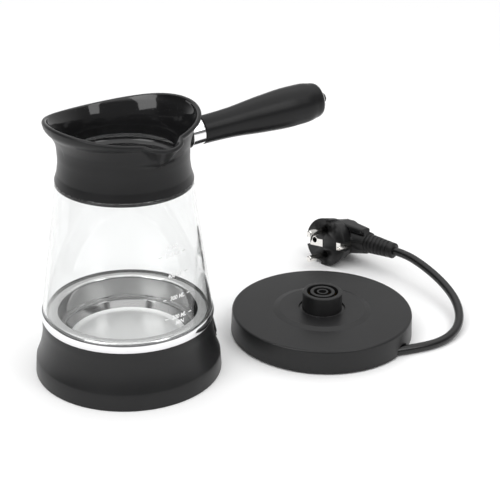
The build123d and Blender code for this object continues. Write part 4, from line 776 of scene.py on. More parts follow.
class COFFEE_OT_stage(Operator):
    """Lay the floor, and place the camera and the soft lights"""

    bl_idname = "coffee_pot.stage"
    bl_label = "Stage"

    def execute(self, context):
        scene = context.scene
        scene.view_settings.view_transform = "Standard"
        floor_shape = bmesh.new()
        bmesh.ops.create_grid(floor_shape, x_segments=2, y_segments=2, size=FLOOR_SIZE)
        mesh = bpy.data.meshes.new("floor")
        floor_shape.to_mesh(mesh)
        floor_shape.free()
        tree, shader = shader_of("floor_paper")
        toned(tree, shader, scene.finish_colours.floor, 0.01, 8.0)
        shader.inputs["Roughness"].default_value = 0.9
        shader.inputs["Specular IOR Level"].default_value = 0.1
        mesh.materials.append(bpy.data.materials["floor_paper"])
        floor = bpy.data.objects.new("floor", mesh)
        scene.collection.objects.link(floor)

        lens = bpy.data.cameras.new("camera")
        lens.lens = CAMERA_LENS
        lens.clip_start = 0.05
        camera = bpy.data.objects.new("camera", lens)
        camera.matrix_world = (
            Matrix.Translation(CAMERA_PLACE)
            @ Matrix.Rotation(pi / 2 - CAMERA_PITCH, 4, "X")
            @ Matrix.Rotation(CAMERA_ROLL, 4, "Z")
        )
        scene.collection.objects.link(camera)
        scene.camera = camera

        for name, place, wide, high, power in SOFTBOXES:
            lamp = bpy.data.lights.new(name, "AREA")
            lamp.shape = "RECTANGLE"
            lamp.size = wide
            lamp.size_y = high
            lamp.energy = power
            box = bpy.data.objects.new(name, lamp)
            aim = LIGHT_AIM - Vector(place)
            facing = aim.to_track_quat("-Z", "Y").to_matrix().to_4x4()
            box.matrix_world = Matrix.Translation(place) @ facing
            scene.collection.objects.link(box)
        world = bpy.data.worlds.new("studio")
        world.use_nodes = True
        tree = world.node_tree
        sky = tree.nodes["Background"]
        sky.inputs["Color"].default_value = (1, 1, 1, 1)
        way = tree.nodes.new("ShaderNodeTexCoord")
        parts = tree.nodes.new("ShaderNodeSeparateXYZ")
        tree.links.new(way.outputs["Generated"], parts.inputs[0])
        depth = ranged(tree, parts.outputs["Y"], DEPTH_SPAN, (WALL_NEAR, WALL_FAR))
        left = ranged(tree, parts.outputs["X"], LEFT_SPAN, (WALL_SIDE, 1.0))
        depth = sum_node(tree, "MULTIPLY", depth, left)
        dimmed = ranged(tree, parts.outputs["Z"], OVERHEAD_SPAN, (0.0, 1.0))
        mix = tree.nodes.new("ShaderNodeMix")
        tree.links.new(dimmed, mix.inputs[0])
        tree.links.new(depth, mix.inputs[2])
        mix.inputs[3].default_value = WALL_OVERHEAD
        seen = tree.nodes.new("ShaderNodeLightPath")
        shown = tree.nodes.new("ShaderNodeMix")
        tree.links.new(seen.outputs["Is Camera Ray"], shown.inputs[0])
        tree.links.new(mix.outputs[0], shown.inputs[2])
        shown.inputs[3].default_value = 1.0
        tree.links.new(shown.outputs[0], sky.inputs["Strength"])
        scene.world = world
        return {"FINISHED"}


# ---------------------------------------------------------------- cord and plug

# Route of the cord from the base's skirt to the plug's sleeve, from the middle of the base's foot.
CORD_ROUTE = [
    Vector((52.6, -31.0, 3.0)) * MM,
    Vector((66.3, -26.2, 3.0)) * MM,
    Vector((78.6, -18.6, 3.0)) * MM,
    Vector((87.1, -9.3, 3.7)) * MM,
    Vector((92.6, 2.0, 5.1)) * MM,
    Vector((94.8, 14.9, 7.2)) * MM,
    Vector((93.8, 28.4, 9.8)) * MM,
    Vector((89.6, 41.9, 12.6)) * MM,
    Vector((82.7, 55.2, 15.6)) * MM,
    Vector((74.1, 67.9, 18.3)) * MM,
    Vector((64.1, 80.0, 20.38)) * MM,
    Vector((55.81, 87.65, 19.78)) * MM,
]


class COFFEE_OT_cord(Operator):
    """Lay the mains cord from the base to the plug"""

    bl_idname = "coffee_pot.cord"
    bl_label = "Cord"

    def execute(self, context):
        sizes = context.scene.cord_sizes
        curve = bpy.data.curves.new("mains_cord", "CURVE")
        curve.dimensions = "3D"
        curve.bevel_depth = sizes.diameter / 2
        curve.bevel_resolution = 8
        curve.resolution_u = 12
        curve.use_fill_caps = True
        line = curve.splines.new("NURBS")
        line.points.add(len(CORD_ROUTE) - 1)
        for point, place in zip(line.points, CORD_ROUTE):
            point.co = (*(BASE + place), 1)
        line.order_u = 3
        line.use_endpoint_u = True
        curve.materials.append(bpy.data.materials["cord_black"])
        cord = bpy.data.objects.new("mains_cord", curve)
        context.scene.collection.objects.link(cord)
        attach(cord, "base")
        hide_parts("power_cord")
        return {"FINISHED"}


class COFFEE_OT_plug(Operator):
    """Make the plug's body, pins, earth strip and ribbed sleeve"""

    bl_idname = "coffee_pot.plug"
    bl_label = "Plug"

    def execute(self, context):
        copied("plug_body", "plug_shell", "plug_black", "base")
        copied("plug_pins", "plug_blades", "plug_nickel", "base")
        copied("plug_earth_clips", "earth_strip", "plug_nickel", "base")
        copied("plug_boot", "plug_sleeve", "plug_black", "base")
        return {"FINISHED"}


# ---------------------------------------------------------------- power base

NOTCH_LENGTH = 18 * MM
# Radius of the tower's foot, and of its grooves and middle hole from the outside in.
TOWER_FOOT = 14.0 * MM
OUTER_GROOVE = (10.4 * MM, 8.2 * MM)
INNER_GROOVE = (5.9 * MM, 3.8 * MM)
TOWER_HOLE = 2.5 * MM
# How far the tower's foot and its flange reach below the floor of the recess round it.
FOOT_DROP = 8.0 * MM
FLANGE_DROP = 1.3 * MM


class COFFEE_OT_base(Operator):
    """Turn the power base's shell and cut the cord's way out"""

    bl_idname = "coffee_pot.base"
    bl_label = "Power base"

    def execute(self, context):
        s = context.scene.base_sizes
        inner_top = s.top - s.wall
        points = rounded(
            (s.moat, s.plateau, 0.3 * MM),
            (s.plateau_radius, s.plateau, 2.0 * MM),
            (s.plateau_foot, s.top, 3.0 * MM),
            (s.top_radius, s.top, s.edge),
            (s.foot_radius, s.skirt, 0.4 * MM),
            (s.foot_radius - s.wall, s.skirt),
            (s.top_radius - s.wall, inner_top),
            (s.plateau_foot, inner_top),
            (s.plateau_radius, s.plateau - s.wall),
            (s.moat, s.plateau - s.wall),
        )
        shell = put("base_shell", moved(lathe(points), AT_BASE), "base_black", "base", "base_top")
        inward = (CORD_ROUTE[0] - CORD_ROUTE[1]).normalized()
        arch = bmesh.new()
        bmesh.ops.create_cone(
            arch,
            cap_ends=True,
            segments=64,
            radius1=s.notch_width / 2,
            radius2=s.notch_width / 2,
            depth=NOTCH_LENGTH,
        )
        low = [vert for vert in arch.verts if vert.co.y < -1e-5]
        for vert in low:
            vert.co.y = -s.notch_height
        rise = s.notch_height - s.notch_width / 2 - CORD_ROUTE[0].z
        place = BASE + CORD_ROUTE[0] + Vector((0, 0, rise))
        side = Vector((0, 0, 1)).cross(inward)
        frame_of_arch = Matrix((side, Vector((0, 0, 1)), inward)).transposed().to_4x4()
        cut(shell, moved(arch, Matrix.Translation(place) @ frame_of_arch))
        return {"FINISHED"}


class COFFEE_OT_tower(Operator):
    """Turn the connector tower with its grooves"""

    bl_idname = "coffee_pot.tower"
    bl_label = "Connector tower"

    def execute(self, context):
        s = context.scene.base_sizes
        moat_floor = s.plateau - 1.0 * MM
        deep = s.tower_top - s.groove_depth
        edge = 0.35 * MM
        core_top = s.tower_top - 0.2 * MM
        points = rounded(
            (0, moat_floor - FOOT_DROP),
            (TOWER_FOOT, moat_floor - FOOT_DROP),
            (TOWER_FOOT, moat_floor - FLANGE_DROP),
            (s.moat - 0.1 * MM, moat_floor - 1.2 * MM),
            (s.moat - 0.1 * MM, moat_floor),
            (s.tower_radius, moat_floor, 0.4 * MM),
            (s.tower_radius, s.tower_top, s.tower_edge),
            (OUTER_GROOVE[0], s.tower_top, edge),
            (OUTER_GROOVE[0], deep),
            (OUTER_GROOVE[1], deep),
            (OUTER_GROOVE[1], core_top, edge),
            (INNER_GROOVE[0], core_top, edge),
            (INNER_GROOVE[0], deep),
            (INNER_GROOVE[1], deep),
            (INNER_GROOVE[1], core_top, edge),
            (TOWER_HOLE, core_top, edge),
            (TOWER_HOLE, deep),
            (0, deep),
            closed=False,
        )
        post = moved(lathe(points, closed=False), AT_BASE)
        put("tower_post", post, "connector_black", "base", "tower_body")
        return {"FINISHED"}


# ---------------------------------------------------------------- pot

# Height of the housing's upright neck and foot, rise of its throat over its band, and its ledge.
HOUSING_NECK = 6.0 * MM
FOOT_BAND = 4.0 * MM
THROAT_RISE = 11.5 * MM
HOUSING_LEDGE = 2.3 * MM


class COFFEE_OT_housing(Operator):
    """Turn the heater housing and the bright trim ring"""

    bl_idname = "coffee_pot.housing"
    bl_label = "Housing and trim"

    def execute(self, context):
        s = context.scene.pot_sizes
        straight = s.top_height - HOUSING_NECK
        throat = s.band_height + THROAT_RISE
        ledge = s.top_radius - HOUSING_LEDGE
        outside = flowing(
            [
                (s.band_radius, s.band_height),
                (s.throat_radius, throat),
                (s.top_radius, straight),
            ],
            leave=(-0.41, 0.91),
            arrive=(0, 1),
        )
        inside = flowing(
            [
                (ledge, straight),
                (s.throat_radius - s.wall, throat),
                (s.band_radius - s.wall, s.band_height),
            ],
            leave=(0, -1),
            arrive=(0.41, -0.91),
        )
        foot = rounded(
            (s.foot_radius - s.wall, FOOT_BAND),
            (s.foot_radius - s.wall, 0, 0.4 * MM),
            (s.foot_radius, 0, 0.6 * MM),
            (s.foot_radius - 0.3 * MM, FOOT_BAND),
            closed=False,
        )
        top = rounded(
            (s.top_radius, straight + 1.0 * MM),
            (s.top_radius, s.top_height, 0.3 * MM),
            (ledge, s.top_height),
            closed=False,
        )
        body = lathe(foot + outside + top + inside)
        put("housing_shell", moved(body, AT_POT), "housing_black", "pot", "heater_housing")
        trim_top = s.top_height + s.trim_height
        bore = s.trim_radius - s.trim_wall
        ring = flowing(
            [
                (s.trim_radius - s.trim_crown, s.top_height),
                (s.trim_radius, s.top_height + s.trim_height / 2),
                (s.trim_radius - s.trim_crown, trim_top),
            ],
            leave=(0.42, 1),
            arrive=(-0.42, 1),
        ) + [Vector((bore, trim_top)), Vector((bore, s.top_height))]
        put("trim_band", moved(lathe(ring), AT_POT), "trim_chrome", "pot", "trim_ring")
        return {"FINISHED"}


class COFFEE_OT_pan(Operator):
    """Turn the heated pan at the bottom of the pot"""

    bl_idname = "coffee_pot.pan"
    bl_label = "Pan"

    def execute(self, context):
        s = context.scene.pot_sizes
        line = rounded(
            (0, s.pan_floor),
            (s.pan_floor_radius + 0.2 * MM, s.pan_floor, 6.4 * MM),
            (s.pan_step_radius - 0.3 * MM, s.pan_step - 1.6 * MM, 1.6 * MM),
            (s.pan_step_radius, s.pan_step + 0.4 * MM, 0.5 * MM),
            (s.pan_wall_radius, s.pan_step + 1.0 * MM, 0.5 * MM),
            (s.pan_wall_radius, s.pan_lip, 1.8 * MM),
            (s.pan_lip_radius + s.sheet / 2, s.pan_lip - s.sheet / 2, 1.8 * MM),
            (s.pan_lip_radius + s.sheet / 2, s.top_height + s.sheet, 1.0 * MM),
            (s.pan_flange_radius, s.top_height + s.sheet),
            closed=False,
        )
        pan = lathe(walled(line, s.sheet), closed=False)
        piece = put("polished_pan", moved(pan, AT_POT), "pan_steel", "pot", "heating_pan")
        for name, _, _ in PAN_FINISHES[1:]:
            piece.data.materials.append(bpy.data.materials[name])
        # Faces of the upright wall take the darker steel copy, painted shade for the dark reflections
        # there, and faces of the floor take the lighter copy, painted light.
        wall, floor = 1, 2
        for face in piece.data.polygons:
            height = face.center.z
            near = hypot(*(face.center - POT).xy) < s.pan_wall_radius + s.sheet
            if height < s.pan_floor + 2.0 * MM:
                face.material_index = floor
            elif near and height < s.pan_lip - 1.5 * MM:
                face.material_index = wall
        return {"FINISHED"}


def glass_line(s):
    """Outer line of the glass from above its foot to the shoulder."""
    return flowing(
        [
            (s.glass_radius, s.glass_foot + 4.0 * MM),
            (s.glass_radius - 5.9 * MM, 87.0 * MM),
            (s.shoulder_radius + 1.5 * MM, 113.5 * MM),
            (s.shoulder_radius, s.shoulder_height),
        ],
        leave=(-0.12, 1),
        arrive=(-0.08, 1),
        steps=16,
    )


class COFFEE_OT_glass(Operator):
    """Make the glass body"""

    bl_idname = "coffee_pot.glass"
    bl_label = "Glass"

    def execute(self, context):
        s = context.scene.pot_sizes
        outside = glass_line(s)
        bore = s.neck_radius - s.glass_wall
        inside = [Vector((point.x - s.glass_wall, point.y)) for point in reversed(outside)][3:]
        foot = rounded(
            (s.glass_radius - s.glass_wall, s.glass_foot + 2.0 * MM),
            (s.glass_radius - s.glass_wall, s.glass_foot, 0.8 * MM),
            (s.glass_radius, s.glass_foot, 0.8 * MM),
            (s.glass_radius, s.glass_foot + 3.0 * MM),
            closed=False,
        )
        neck = rounded(
            (s.shoulder_radius, s.shoulder_height),
            (s.neck_radius, s.shoulder_height, 0.3 * MM),
            (s.neck_radius, s.neck_top, 0.6 * MM),
            (bore, s.neck_top, 0.6 * MM),
            (bore, s.shoulder_height + 1.0 * MM, 3.0 * MM),
            (s.shoulder_radius - s.glass_wall - 1.4 * MM, s.shoulder_height - 1.5 * MM, 1.0 * MM),
            tuple(inside[0]),
            closed=False,
        )[1:-1]
        body = lathe(foot + outside + neck + inside)
        put("glass_shell", moved(body, AT_POT), "clear_glass", "pot", "glass_body")
        return {"FINISHED"}


# Words of each volume mark, its height, and whether dashes stand beside it.
MARKS = (
    ("MAX", 97.7 * MM, False),
    ("500 ML", 93.4 * MM, True),
    ("400 ML", 80.8 * MM, True),
    ("300 ML", 67.0 * MM, True),
    ("200 ML", 55.0 * MM, True),
    ("MIN", 51.2 * MM, False),
)
FONT_PER_CAPITAL = 1.4
PRINT_GAP = 0.01 * MM


class COFFEE_OT_marks(Operator):
    """Print the volume marks on the glass"""

    bl_idname = "coffee_pot.marks"
    bl_label = "Volume marks"

    def execute(self, context):
        marks = context.scene.mark_sizes
        line = glass_line(context.scene.pot_sizes)
        flat = bmesh.new()
        for words, height, dashed in MARKS:
            text = bpy.data.curves.new("words", "FONT")
            text.body = words
            text.size = marks.letter * FONT_PER_CAPITAL
            text.shear = marks.slant
            text.offset = marks.boldness
            text.align_x = "CENTER"
            text.align_y = "CENTER"
            text.resolution_u = 4
            holder = bpy.data.objects.new("words", text)
            context.scene.collection.objects.link(holder)
            context.view_layer.update()
            depsgraph = context.evaluated_depsgraph_get()
            letters = bpy.data.meshes.new_from_object(holder.evaluated_get(depsgraph))
            letters.transform(Matrix.Translation((0, height, 0)))
            flat.from_mesh(letters)
            bpy.data.objects.remove(holder)
            for side in (-1, 1) if dashed else ():
                middle_x = side * (marks.half_span - marks.dash / 2)
                size = Matrix.Diagonal((marks.dash, marks.stroke, 1, 1))
                bar = Matrix.Translation((middle_x, height, 0)) @ size
                bmesh.ops.create_grid(flat, x_segments=4, y_segments=1, size=0.5, matrix=bar)
        bmesh.ops.triangulate(flat, faces=flat.faces)
        bmesh.ops.recalc_face_normals(flat, faces=flat.faces)
        bmesh.ops.solidify(flat, geom=flat.faces, thickness=marks.film)
        low = min(vert.co.z for vert in flat.verts)
        for vert in flat.verts:
            height = vert.co.y
            radius = radius_at(line, height)
            azimuth = marks.azimuth + vert.co.x / radius
            lift = radius + PRINT_GAP + vert.co.z - low
            vert.co = POT + Vector((cos(azimuth) * lift, sin(azimuth) * lift, height))
        bmesh.ops.recalc_face_normals(flat, faces=flat.faces)
        put("volume_marks", flat, None, "pot", finish="print_white")
        return {"FINISHED"}


def radius_at(line, height):
    """Radius of a standing line of (radius, height) points at a height."""
    for low, high in zip(line, line[1:]):
        if low.y <= height <= high.y:
            return low.x + (high.x - low.x) * (height - low.y) / (high.y - low.y)
    return line[0].x if height < line[0].y else line[-1].x


# ---------------------------------------------------------------- collar with the spout

# Height, mid radius, wall and share of the lean and shift at each section of the collar.
COLLAR_SECTIONS = (
    (141.0 * MM, 38.15 * MM, 2.9 * MM, 0.0),
    (143.0 * MM, 38.15 * MM, 2.9 * MM, 0.0),
    (153.0 * MM, 39.1 * MM, 2.4 * MM, 0.3),
    (160.8 * MM, 42.1 * MM, 2.4 * MM, 0.8),
    (166.0 * MM, 45.45 * MM, 2.9 * MM, 1.0),
    (177.0 * MM, 45.95 * MM, 2.9 * MM, 1.0),
)
# The lathe turns the collar's upper part as a plain ring here, and its points are then moved.
NOMINAL_MID = 45.0 * MM
NOMINAL_HALF = 1.0 * MM
NOMINAL_LOW = 200.0 * MM
NOMINAL_TALL = 50.0 * MM
COLLAR_ROWS = 28
COLLAR_STEPS = 384
LIP_STEPS = 12
# The beak, in millimetres: its radius at its start, and how its reach and its round grow with height.
BEAK_START = 37.4
BEAK_GROWTH = 0.325
BEAK_ROUND = 0.73
FOLD_FADE = 5 * MM
# The rim, in millimetres: its slope and bow along its curve, its slope across, and its blend.
RIM_SLOPE = 0.02717
RIM_BOW = 0.002812
RIM_CROSS = 0.0207
RIM_BLEND = 0.6
RIM_ROUNDS = 6
# Small steps in height and in degrees, which give the directions along and across the wall.
NUDGE_UP = 0.05 * MM
NUDGE_ROUND = 0.1
# Lower edge of the collar on the glass, and the radius of its seat there.
COLLAR_FOOT = 128.0 * MM
COLLAR_SEAT = 37.5 * MM


def section_at(height):
    """Mid radius, wall and lean share of the collar at a height."""
    rows = COLLAR_SECTIONS
    for index in range(len(rows) - 1):
        low, high = rows[index], rows[index + 1]
        if height <= high[0] or index == len(rows) - 2:
            t = (height - low[0]) / (high[0] - low[0])
            break
    before = rows[max(index - 1, 0)]
    after = rows[min(index + 2, len(rows) - 1)]
    gap = high[0] - low[0]
    start_slope = (high[1] - before[1]) / (high[0] - before[0])
    stop_slope = (after[1] - low[1]) / (after[0] - low[0])
    radius = between(low[1], start_slope * gap, high[1], stop_slope * gap, t)
    return radius, low[2] + (high[2] - low[2]) * t, low[3] + (high[3] - low[3]) * t


def collar_mid(s, height, azimuth):
    """Point in the middle of the collar's wall, from the pot's axis on the table."""
    radius, _, lean_share = section_at(height)
    rise = max(0.0, height - s.spout_start) / MM
    beak = (BEAK_START + BEAK_GROWTH * rise) * MM
    beak_round = BEAK_ROUND * rise * MM
    aside = radians(azimuth - SPOUT_AZIMUTH)
    if cos(aside) > 0:
        soft = s.fold * min(1.0, max(0.0, height - s.spout_start) / FOLD_FADE)
        inside = beak_round**2 - (beak * sin(aside)) ** 2
        reach = beak * cos(aside) + ((inside + hypot(inside, soft**2)) / 2) ** 0.5
        radius = (radius + reach + hypot(radius - reach, soft)) / 2
    lift = radius * sin(s.lean * lean_share) * cos(radians(azimuth - HANDLE_AZIMUTH))
    place = heading(azimuth) * radius - heading(HANDLE_AZIMUTH) * s.shift * lean_share
    return Vector((place.x, place.y, height + lift))


def rim_height(s, place, dip_point, dip_normal):
    """Height of the rim over a place on the collar."""
    way = heading(degrees(s.rim_azimuth))
    along = (place.x * way.x + place.y * way.y) / MM
    aside = (place.x * way.y - place.y * way.x) / MM
    rim = s.rim_low / MM + RIM_SLOPE * along + RIM_BOW * along**2 + RIM_CROSS * aside
    away = place - dip_point
    dip = (dip_point.z - (dip_normal.x * away.x + dip_normal.y * away.y) / dip_normal.z) / MM
    return (rim + dip - hypot(rim - dip, RIM_BLEND)) / 2 * MM


class COFFEE_OT_collar(Operator):
    """Make the collar with its spout, and the pad for the handle"""

    bl_idname = "coffee_pot.collar"
    bl_label = "Collar"

    def execute(self, context):
        s = context.scene.collar_sizes
        tall = NOMINAL_LOW + NOMINAL_TALL
        rows = [NOMINAL_LOW + NOMINAL_TALL * (row + 1) / COLLAR_ROWS for row in range(COLLAR_ROWS)]
        outer = NOMINAL_MID + NOMINAL_HALF
        inner = NOMINAL_MID - NOMINAL_HALF
        bends = [pi * step / LIP_STEPS for step in range(1, LIP_STEPS)]
        lip = [
            (NOMINAL_MID + NOMINAL_HALF * cos(bend), tall + NOMINAL_HALF * sin(bend))
            for bend in bends
        ]
        points = rounded(
            (COLLAR_SEAT, COLLAR_FOOT),
            (s.foot_radius, COLLAR_FOOT, 0.4 * MM),
            (40.5 * MM, 133.0 * MM, 6.0 * MM),
            (39.65 * MM, 139.0 * MM),
            closed=False,
        )
        points += [(outer, NOMINAL_LOW)] + [(outer, row) for row in rows] + lip
        points += [(inner, row) for row in reversed(rows)] + [(inner, NOMINAL_LOW)]
        points += rounded(
            (36.65 * MM, 140.0 * MM),
            (36.0 * MM, 138.8 * MM),
            (s.sleeve_radius, s.ledge_height + 1.2 * MM, 0.5 * MM),
            (s.sleeve_radius, s.sleeve_low, 0.4 * MM),
            (s.sleeve_radius + 0.9 * MM, s.sleeve_low, 0.4 * MM),
            (s.sleeve_radius + 0.9 * MM, s.ledge_height),
            (COLLAR_SEAT, s.ledge_height),
            closed=False,
        )
        shape = lathe(points, steps=COLLAR_STEPS)
        corners = [
            Vector((*(heading(azimuth) * reach).xy, height))
            for azimuth, reach, height in (
                (-71.0, 46.0 * MM, s.rim_low + 1.0 * MM),
                (-36.0, 46.0 * MM, s.rim_low + 2.0 * MM),
                (SPOUT_AZIMUTH, s.spout_reach, s.spout_tip),
            )
        ]
        dip_normal = (corners[1] - corners[0]).cross(corners[2] - corners[0])
        tops = {}
        for vert in shape.verts:
            if vert.co.z < NOMINAL_LOW - MERGE:
                continue
            radius = hypot(vert.co.x, vert.co.y)
            azimuth = degrees(atan2(vert.co.y, vert.co.x))
            key = round(azimuth, 3)
            if key not in tops:
                top = s.rim_low
                for _ in range(RIM_ROUNDS):
                    place = collar_mid(s, top, azimuth)
                    half_wall = section_at(top)[1] / 2
                    top += rim_height(s, place, corners[0], dip_normal) - half_wall - place.z
                tops[key] = top
            beyond = max(0.0, vert.co.z - tall) / NOMINAL_HALF
            t = min(1.0, (vert.co.z - NOMINAL_LOW) / NOMINAL_TALL)
            height = s.waist + t * (tops[key] - s.waist)
            half_wall = section_at(height)[1] / 2
            place = collar_mid(s, height, azimuth)
            along = (collar_mid(s, height + NUDGE_UP, azimuth) - place).normalized()
            across = (collar_mid(s, height, azimuth + NUDGE_ROUND) - place).cross(along).normalized()
            side = (radius - NOMINAL_MID) / NOMINAL_HALF
            vert.co = place + across * side * half_wall + along * beyond * half_wall
        bmesh.ops.recalc_face_normals(shape, faces=shape.faces)
        piece = put(
            "spouted_collar",
            moved(shape, AT_POT),
            "collar_black",
            "pot",
            "collar",
            finish="collar_outside",
        )
        piece.data.materials.append(bpy.data.materials["collar_black"])
        for face in piece.data.polygons:
            middle_of_face = face.center - POT
            outward = Vector((middle_of_face.x, middle_of_face.y, 0)).dot(face.normal)
            if outward < 0 and middle_of_face.z > s.ledge_height:
                face.material_index = 1

        pad_radius = context.scene.handle_sizes.pad_radius
        back = -9.0 * MM
        outline = rounded(
            (0, back), (pad_radius, back), (pad_radius, 0, 0.8 * MM), (0, 0), closed=False
        )
        pad = moved(lathe(outline, closed=False), handle_place())
        way = heading(HANDLE_AZIMUTH)
        aside = Vector((-way.y, way.x, 0))
        for vert in pad.verts:
            away = vert.co - POT
            wall_mid = section_at(away.z)[0]
            if hypot(away.x, away.y) < wall_mid:
                lateral = away.dot(aside)
                place = way * (wall_mid**2 - lateral**2) ** 0.5 + aside * lateral
                vert.co = POT + Vector((place.x, place.y, away.z))
        put("handle_pad", pad, "collar_black", "pot", finish="collar_outside")
        return {"FINISHED"}


# ---------------------------------------------------------------- handle

# Radius of the rod's bore, and radius and depth of the pocket at the grip's end.
ROD_BORE = 2.5 * MM
POCKET_RADIUS = 4.4 * MM
POCKET_DEPTH = 9.0 * MM
# How far the end cap and the end button reach into the grip.
CAP_DEPTH = 3.0 * MM
CAP_STEM = 4.2 * MM


class COFFEE_OT_handle(Operator):
    """Turn the ferrule, the grip, its end cap and its end button"""

    bl_idname = "coffee_pot.handle"
    bl_label = "Handle"

    def execute(self, context):
        s = context.scene.handle_sizes
        place = handle_place()
        start = s.ferrule_length
        end = start + s.grip_length
        full = start + s.full_at
        ferrule = rounded(
            (s.ferrule_radius - 2.0 * MM, 0, 0.2 * MM),
            (s.ferrule_radius, 0, 0.5 * MM),
            (s.ferrule_radius, start, 0.3 * MM),
            (s.ferrule_radius - 2.0 * MM, start, 0.2 * MM),
        )
        put("ferrule_ring", moved(lathe(ferrule), place), "trim_chrome", "pot", "handle_ferrule")

        front = rounded(
            (ROD_BORE, start),
            (s.front_radius, start, 0.8 * MM),
            (s.front_radius + 0.02 * MM, start + 1.5 * MM),
            closed=False,
        )
        swell = flowing(
            [
                (s.front_radius + 0.02 * MM, start + 1.5 * MM),
                (9.3 * MM, start + 21.0 * MM),
                (11.5 * MM, start + 43.0 * MM),
                (s.full_radius, full),
                (s.full_radius - 0.9 * MM, full + 12.0 * MM),
                (s.end_radius, end),
            ],
            leave=(0, 1),
            arrive=(-1, 0.45),
            steps=12,
        )[1:]
        pocket_floor = end - POCKET_DEPTH
        pocket = [(POCKET_RADIUS, end), (POCKET_RADIUS, pocket_floor), (ROD_BORE, pocket_floor)]
        put("grip", moved(lathe(front + swell + pocket), place), "grip_black", "pot", "handle_grip")

        reach = s.end_radius - 0.2 * MM
        dome = (reach**2 + s.cap_rise**2) / (2 * s.cap_rise)
        hole = s.button_radius + 0.1 * MM
        first, last = asin(hole / dome), asin(reach / dome)
        arc = [
            (dome * sin(angle), end + s.cap_rise - dome + dome * cos(angle))
            for angle in (first + (last - first) * step / 20 for step in range(21))
        ]
        deep = end - CAP_DEPTH
        cap = [(hole, deep)] + arc + [(CAP_STEM, end), (CAP_STEM, deep)]
        put("end_cap", moved(lathe(cap), place), "trim_chrome", "pot", "handle_end_cap")
        tip = end + s.cap_rise + s.button_rise
        outline = rounded(
            (0, deep),
            (s.button_radius, deep),
            (s.button_radius, tip, 1.6 * MM),
            (0, tip),
            closed=False,
        )
        button = moved(lathe(outline, closed=False), place)
        put("end_button", button, "plug_cap_black", "pot", "handle_plug")
        return {"FINISHED"}


# ---------------------------------------------------------------- switch


SWITCH_LEAN = radians(14.0)
# Middle of the switch from the pot's axis, in millimetres, and over the table. Its window and its
# pad are given as width, height, low face and high face.
SWITCH_OUT = 56.6
SWITCH_UP = 19.5 * MM
WINDOW = (11.7 * MM, 16.8 * MM, -8.0 * MM, 2.0 * MM)
PAD = (15.4 * MM, 21.4 * MM, -3.0 * MM, 0.4 * MM)
PAD_EDGE = 0.35 * MM


def switch_place():
    """Matrix of the switch's own plane on the housing."""
    way = heading(HANDLE_AZIMUTH)
    side = Vector((-way.y, way.x, 0))
    face = way * cos(SWITCH_LEAN) + Vector((0, 0, sin(SWITCH_LEAN)))
    turned = Matrix((side, face.cross(side), face)).transposed().to_4x4()
    seat = POT + way * SWITCH_OUT * MM + Vector((0, 0, SWITCH_UP))
    return Matrix.Translation(seat) @ turned


def block(wide, high, low, top):
    """Upright block on its own axes, from a low to a high face."""
    shape = bmesh.new()
    bmesh.ops.create_cube(shape, size=1.0)
    bmesh.ops.scale(shape, vec=(wide, high, top - low), verts=shape.verts)
    bmesh.ops.translate(shape, vec=(0, 0, (top + low) / 2), verts=shape.verts)
    return shape


class COFFEE_OT_switch(Operator):
    """Cut the switch's window in the housing, and make its pad, frame, rocker and lens"""

    bl_idname = "coffee_pot.switch"
    bl_label = "Switch"

    def execute(self, context):
        place = switch_place()
        cut(bpy.data.objects["housing_shell"], moved(block(*WINDOW), place))
        pad = block(*PAD)
        bmesh.ops.bevel(
            pad,
            geom=pad.edges[:],
            offset=PAD_EDGE,
            affect="EDGES",
            segments=3,
            profile=0.5,
            material=-1,
        )
        piece = put("switch_pad", moved(pad, place), "housing_black", "pot")
        cut(piece, moved(block(*WINDOW), place))
        copied("switch_frame", "switch_bezel", "switch_black", "pot", soften=0.3 * MM)
        copied("switch_rocker", "rocker", "rocker_black", "rocker", soften=0.25 * MM)
        copied("rocker_lens", "lens", "lens_red", "rocker", soften=0.12 * MM)
        return {"FINISHED"}


# ---------------------------------------------------------------- inner pieces


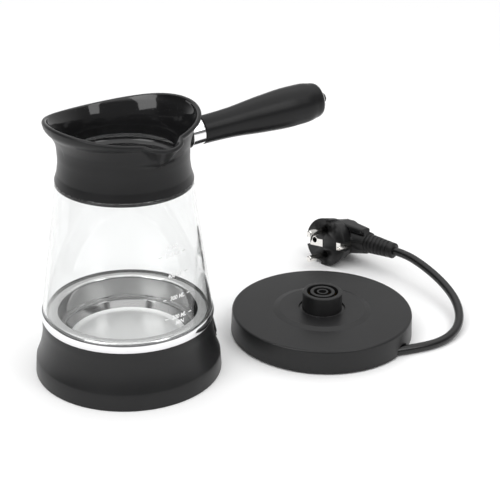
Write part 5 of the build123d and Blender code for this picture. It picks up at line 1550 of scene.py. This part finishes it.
class COFFEE_OT_inner_pieces(Operator):
    """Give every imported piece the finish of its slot"""

    bl_idname = "coffee_pot.inner_pieces"
    bl_label = "Inner pieces"

    def execute(self, context):
        for row in frame["record"]["subparts"]:
            mesh = frame["nodes"][row["node"]].data
            mesh.materials.clear()
            mesh.materials.append(bpy.data.materials[row["material_slot"]])
        return {"FINISHED"}


# ---------------------------------------------------------------- panel and run

SIZES = {
    "pot_sizes": PotSizes,
    "mark_sizes": MarkSizes,
    "collar_sizes": CollarSizes,
    "handle_sizes": HandleSizes,
    "base_sizes": BaseSizes,
    "cord_sizes": CordSizes,
    "finish_colours": FinishColours,
}
STEPS = (
    COFFEE_OT_finishes,
    COFFEE_OT_stage,
    COFFEE_OT_plug,
    COFFEE_OT_cord,
    COFFEE_OT_base,
    COFFEE_OT_tower,
    COFFEE_OT_housing,
    COFFEE_OT_pan,
    COFFEE_OT_glass,
    COFFEE_OT_marks,
    COFFEE_OT_collar,
    COFFEE_OT_handle,
    COFFEE_OT_switch,
    COFFEE_OT_inner_pieces,
)


class COFFEE_PT_panel(Panel):
    """Steps that build the coffee pot, in order, and its sizes and colours"""

    bl_idname = "COFFEE_PT_panel"
    bl_label = "Coffee pot"
    bl_space_type = "VIEW_3D"
    bl_region_type = "UI"
    bl_category = "Coffee pot"

    def draw(self, context):
        for step in STEPS:
            self.layout.operator(step.bl_idname)
        for name, kind in SIZES.items():
            box = self.layout.box()
            box.label(text=name.replace("_", " ").capitalize())
            for field in kind.__annotations__:
                box.prop(getattr(context.scene, name), field)


def register():
    for kind in (*SIZES.values(), *STEPS, COFFEE_PT_panel):
        bpy.utils.register_class(kind)
    for name, kind in SIZES.items():
        setattr(bpy.types.Scene, name, PointerProperty(type=kind))


def unregister():
    for name in SIZES:
        delattr(bpy.types.Scene, name)
    for kind in (COFFEE_PT_panel, *reversed(STEPS), *reversed(SIZES.values())):
        bpy.utils.unregister_class(kind)


def main():
    register()
    for step in STEPS:
        getattr(bpy.ops.coffee_pot, step.bl_idname.split(".")[1])()


if __name__ == "__main__":
    main()
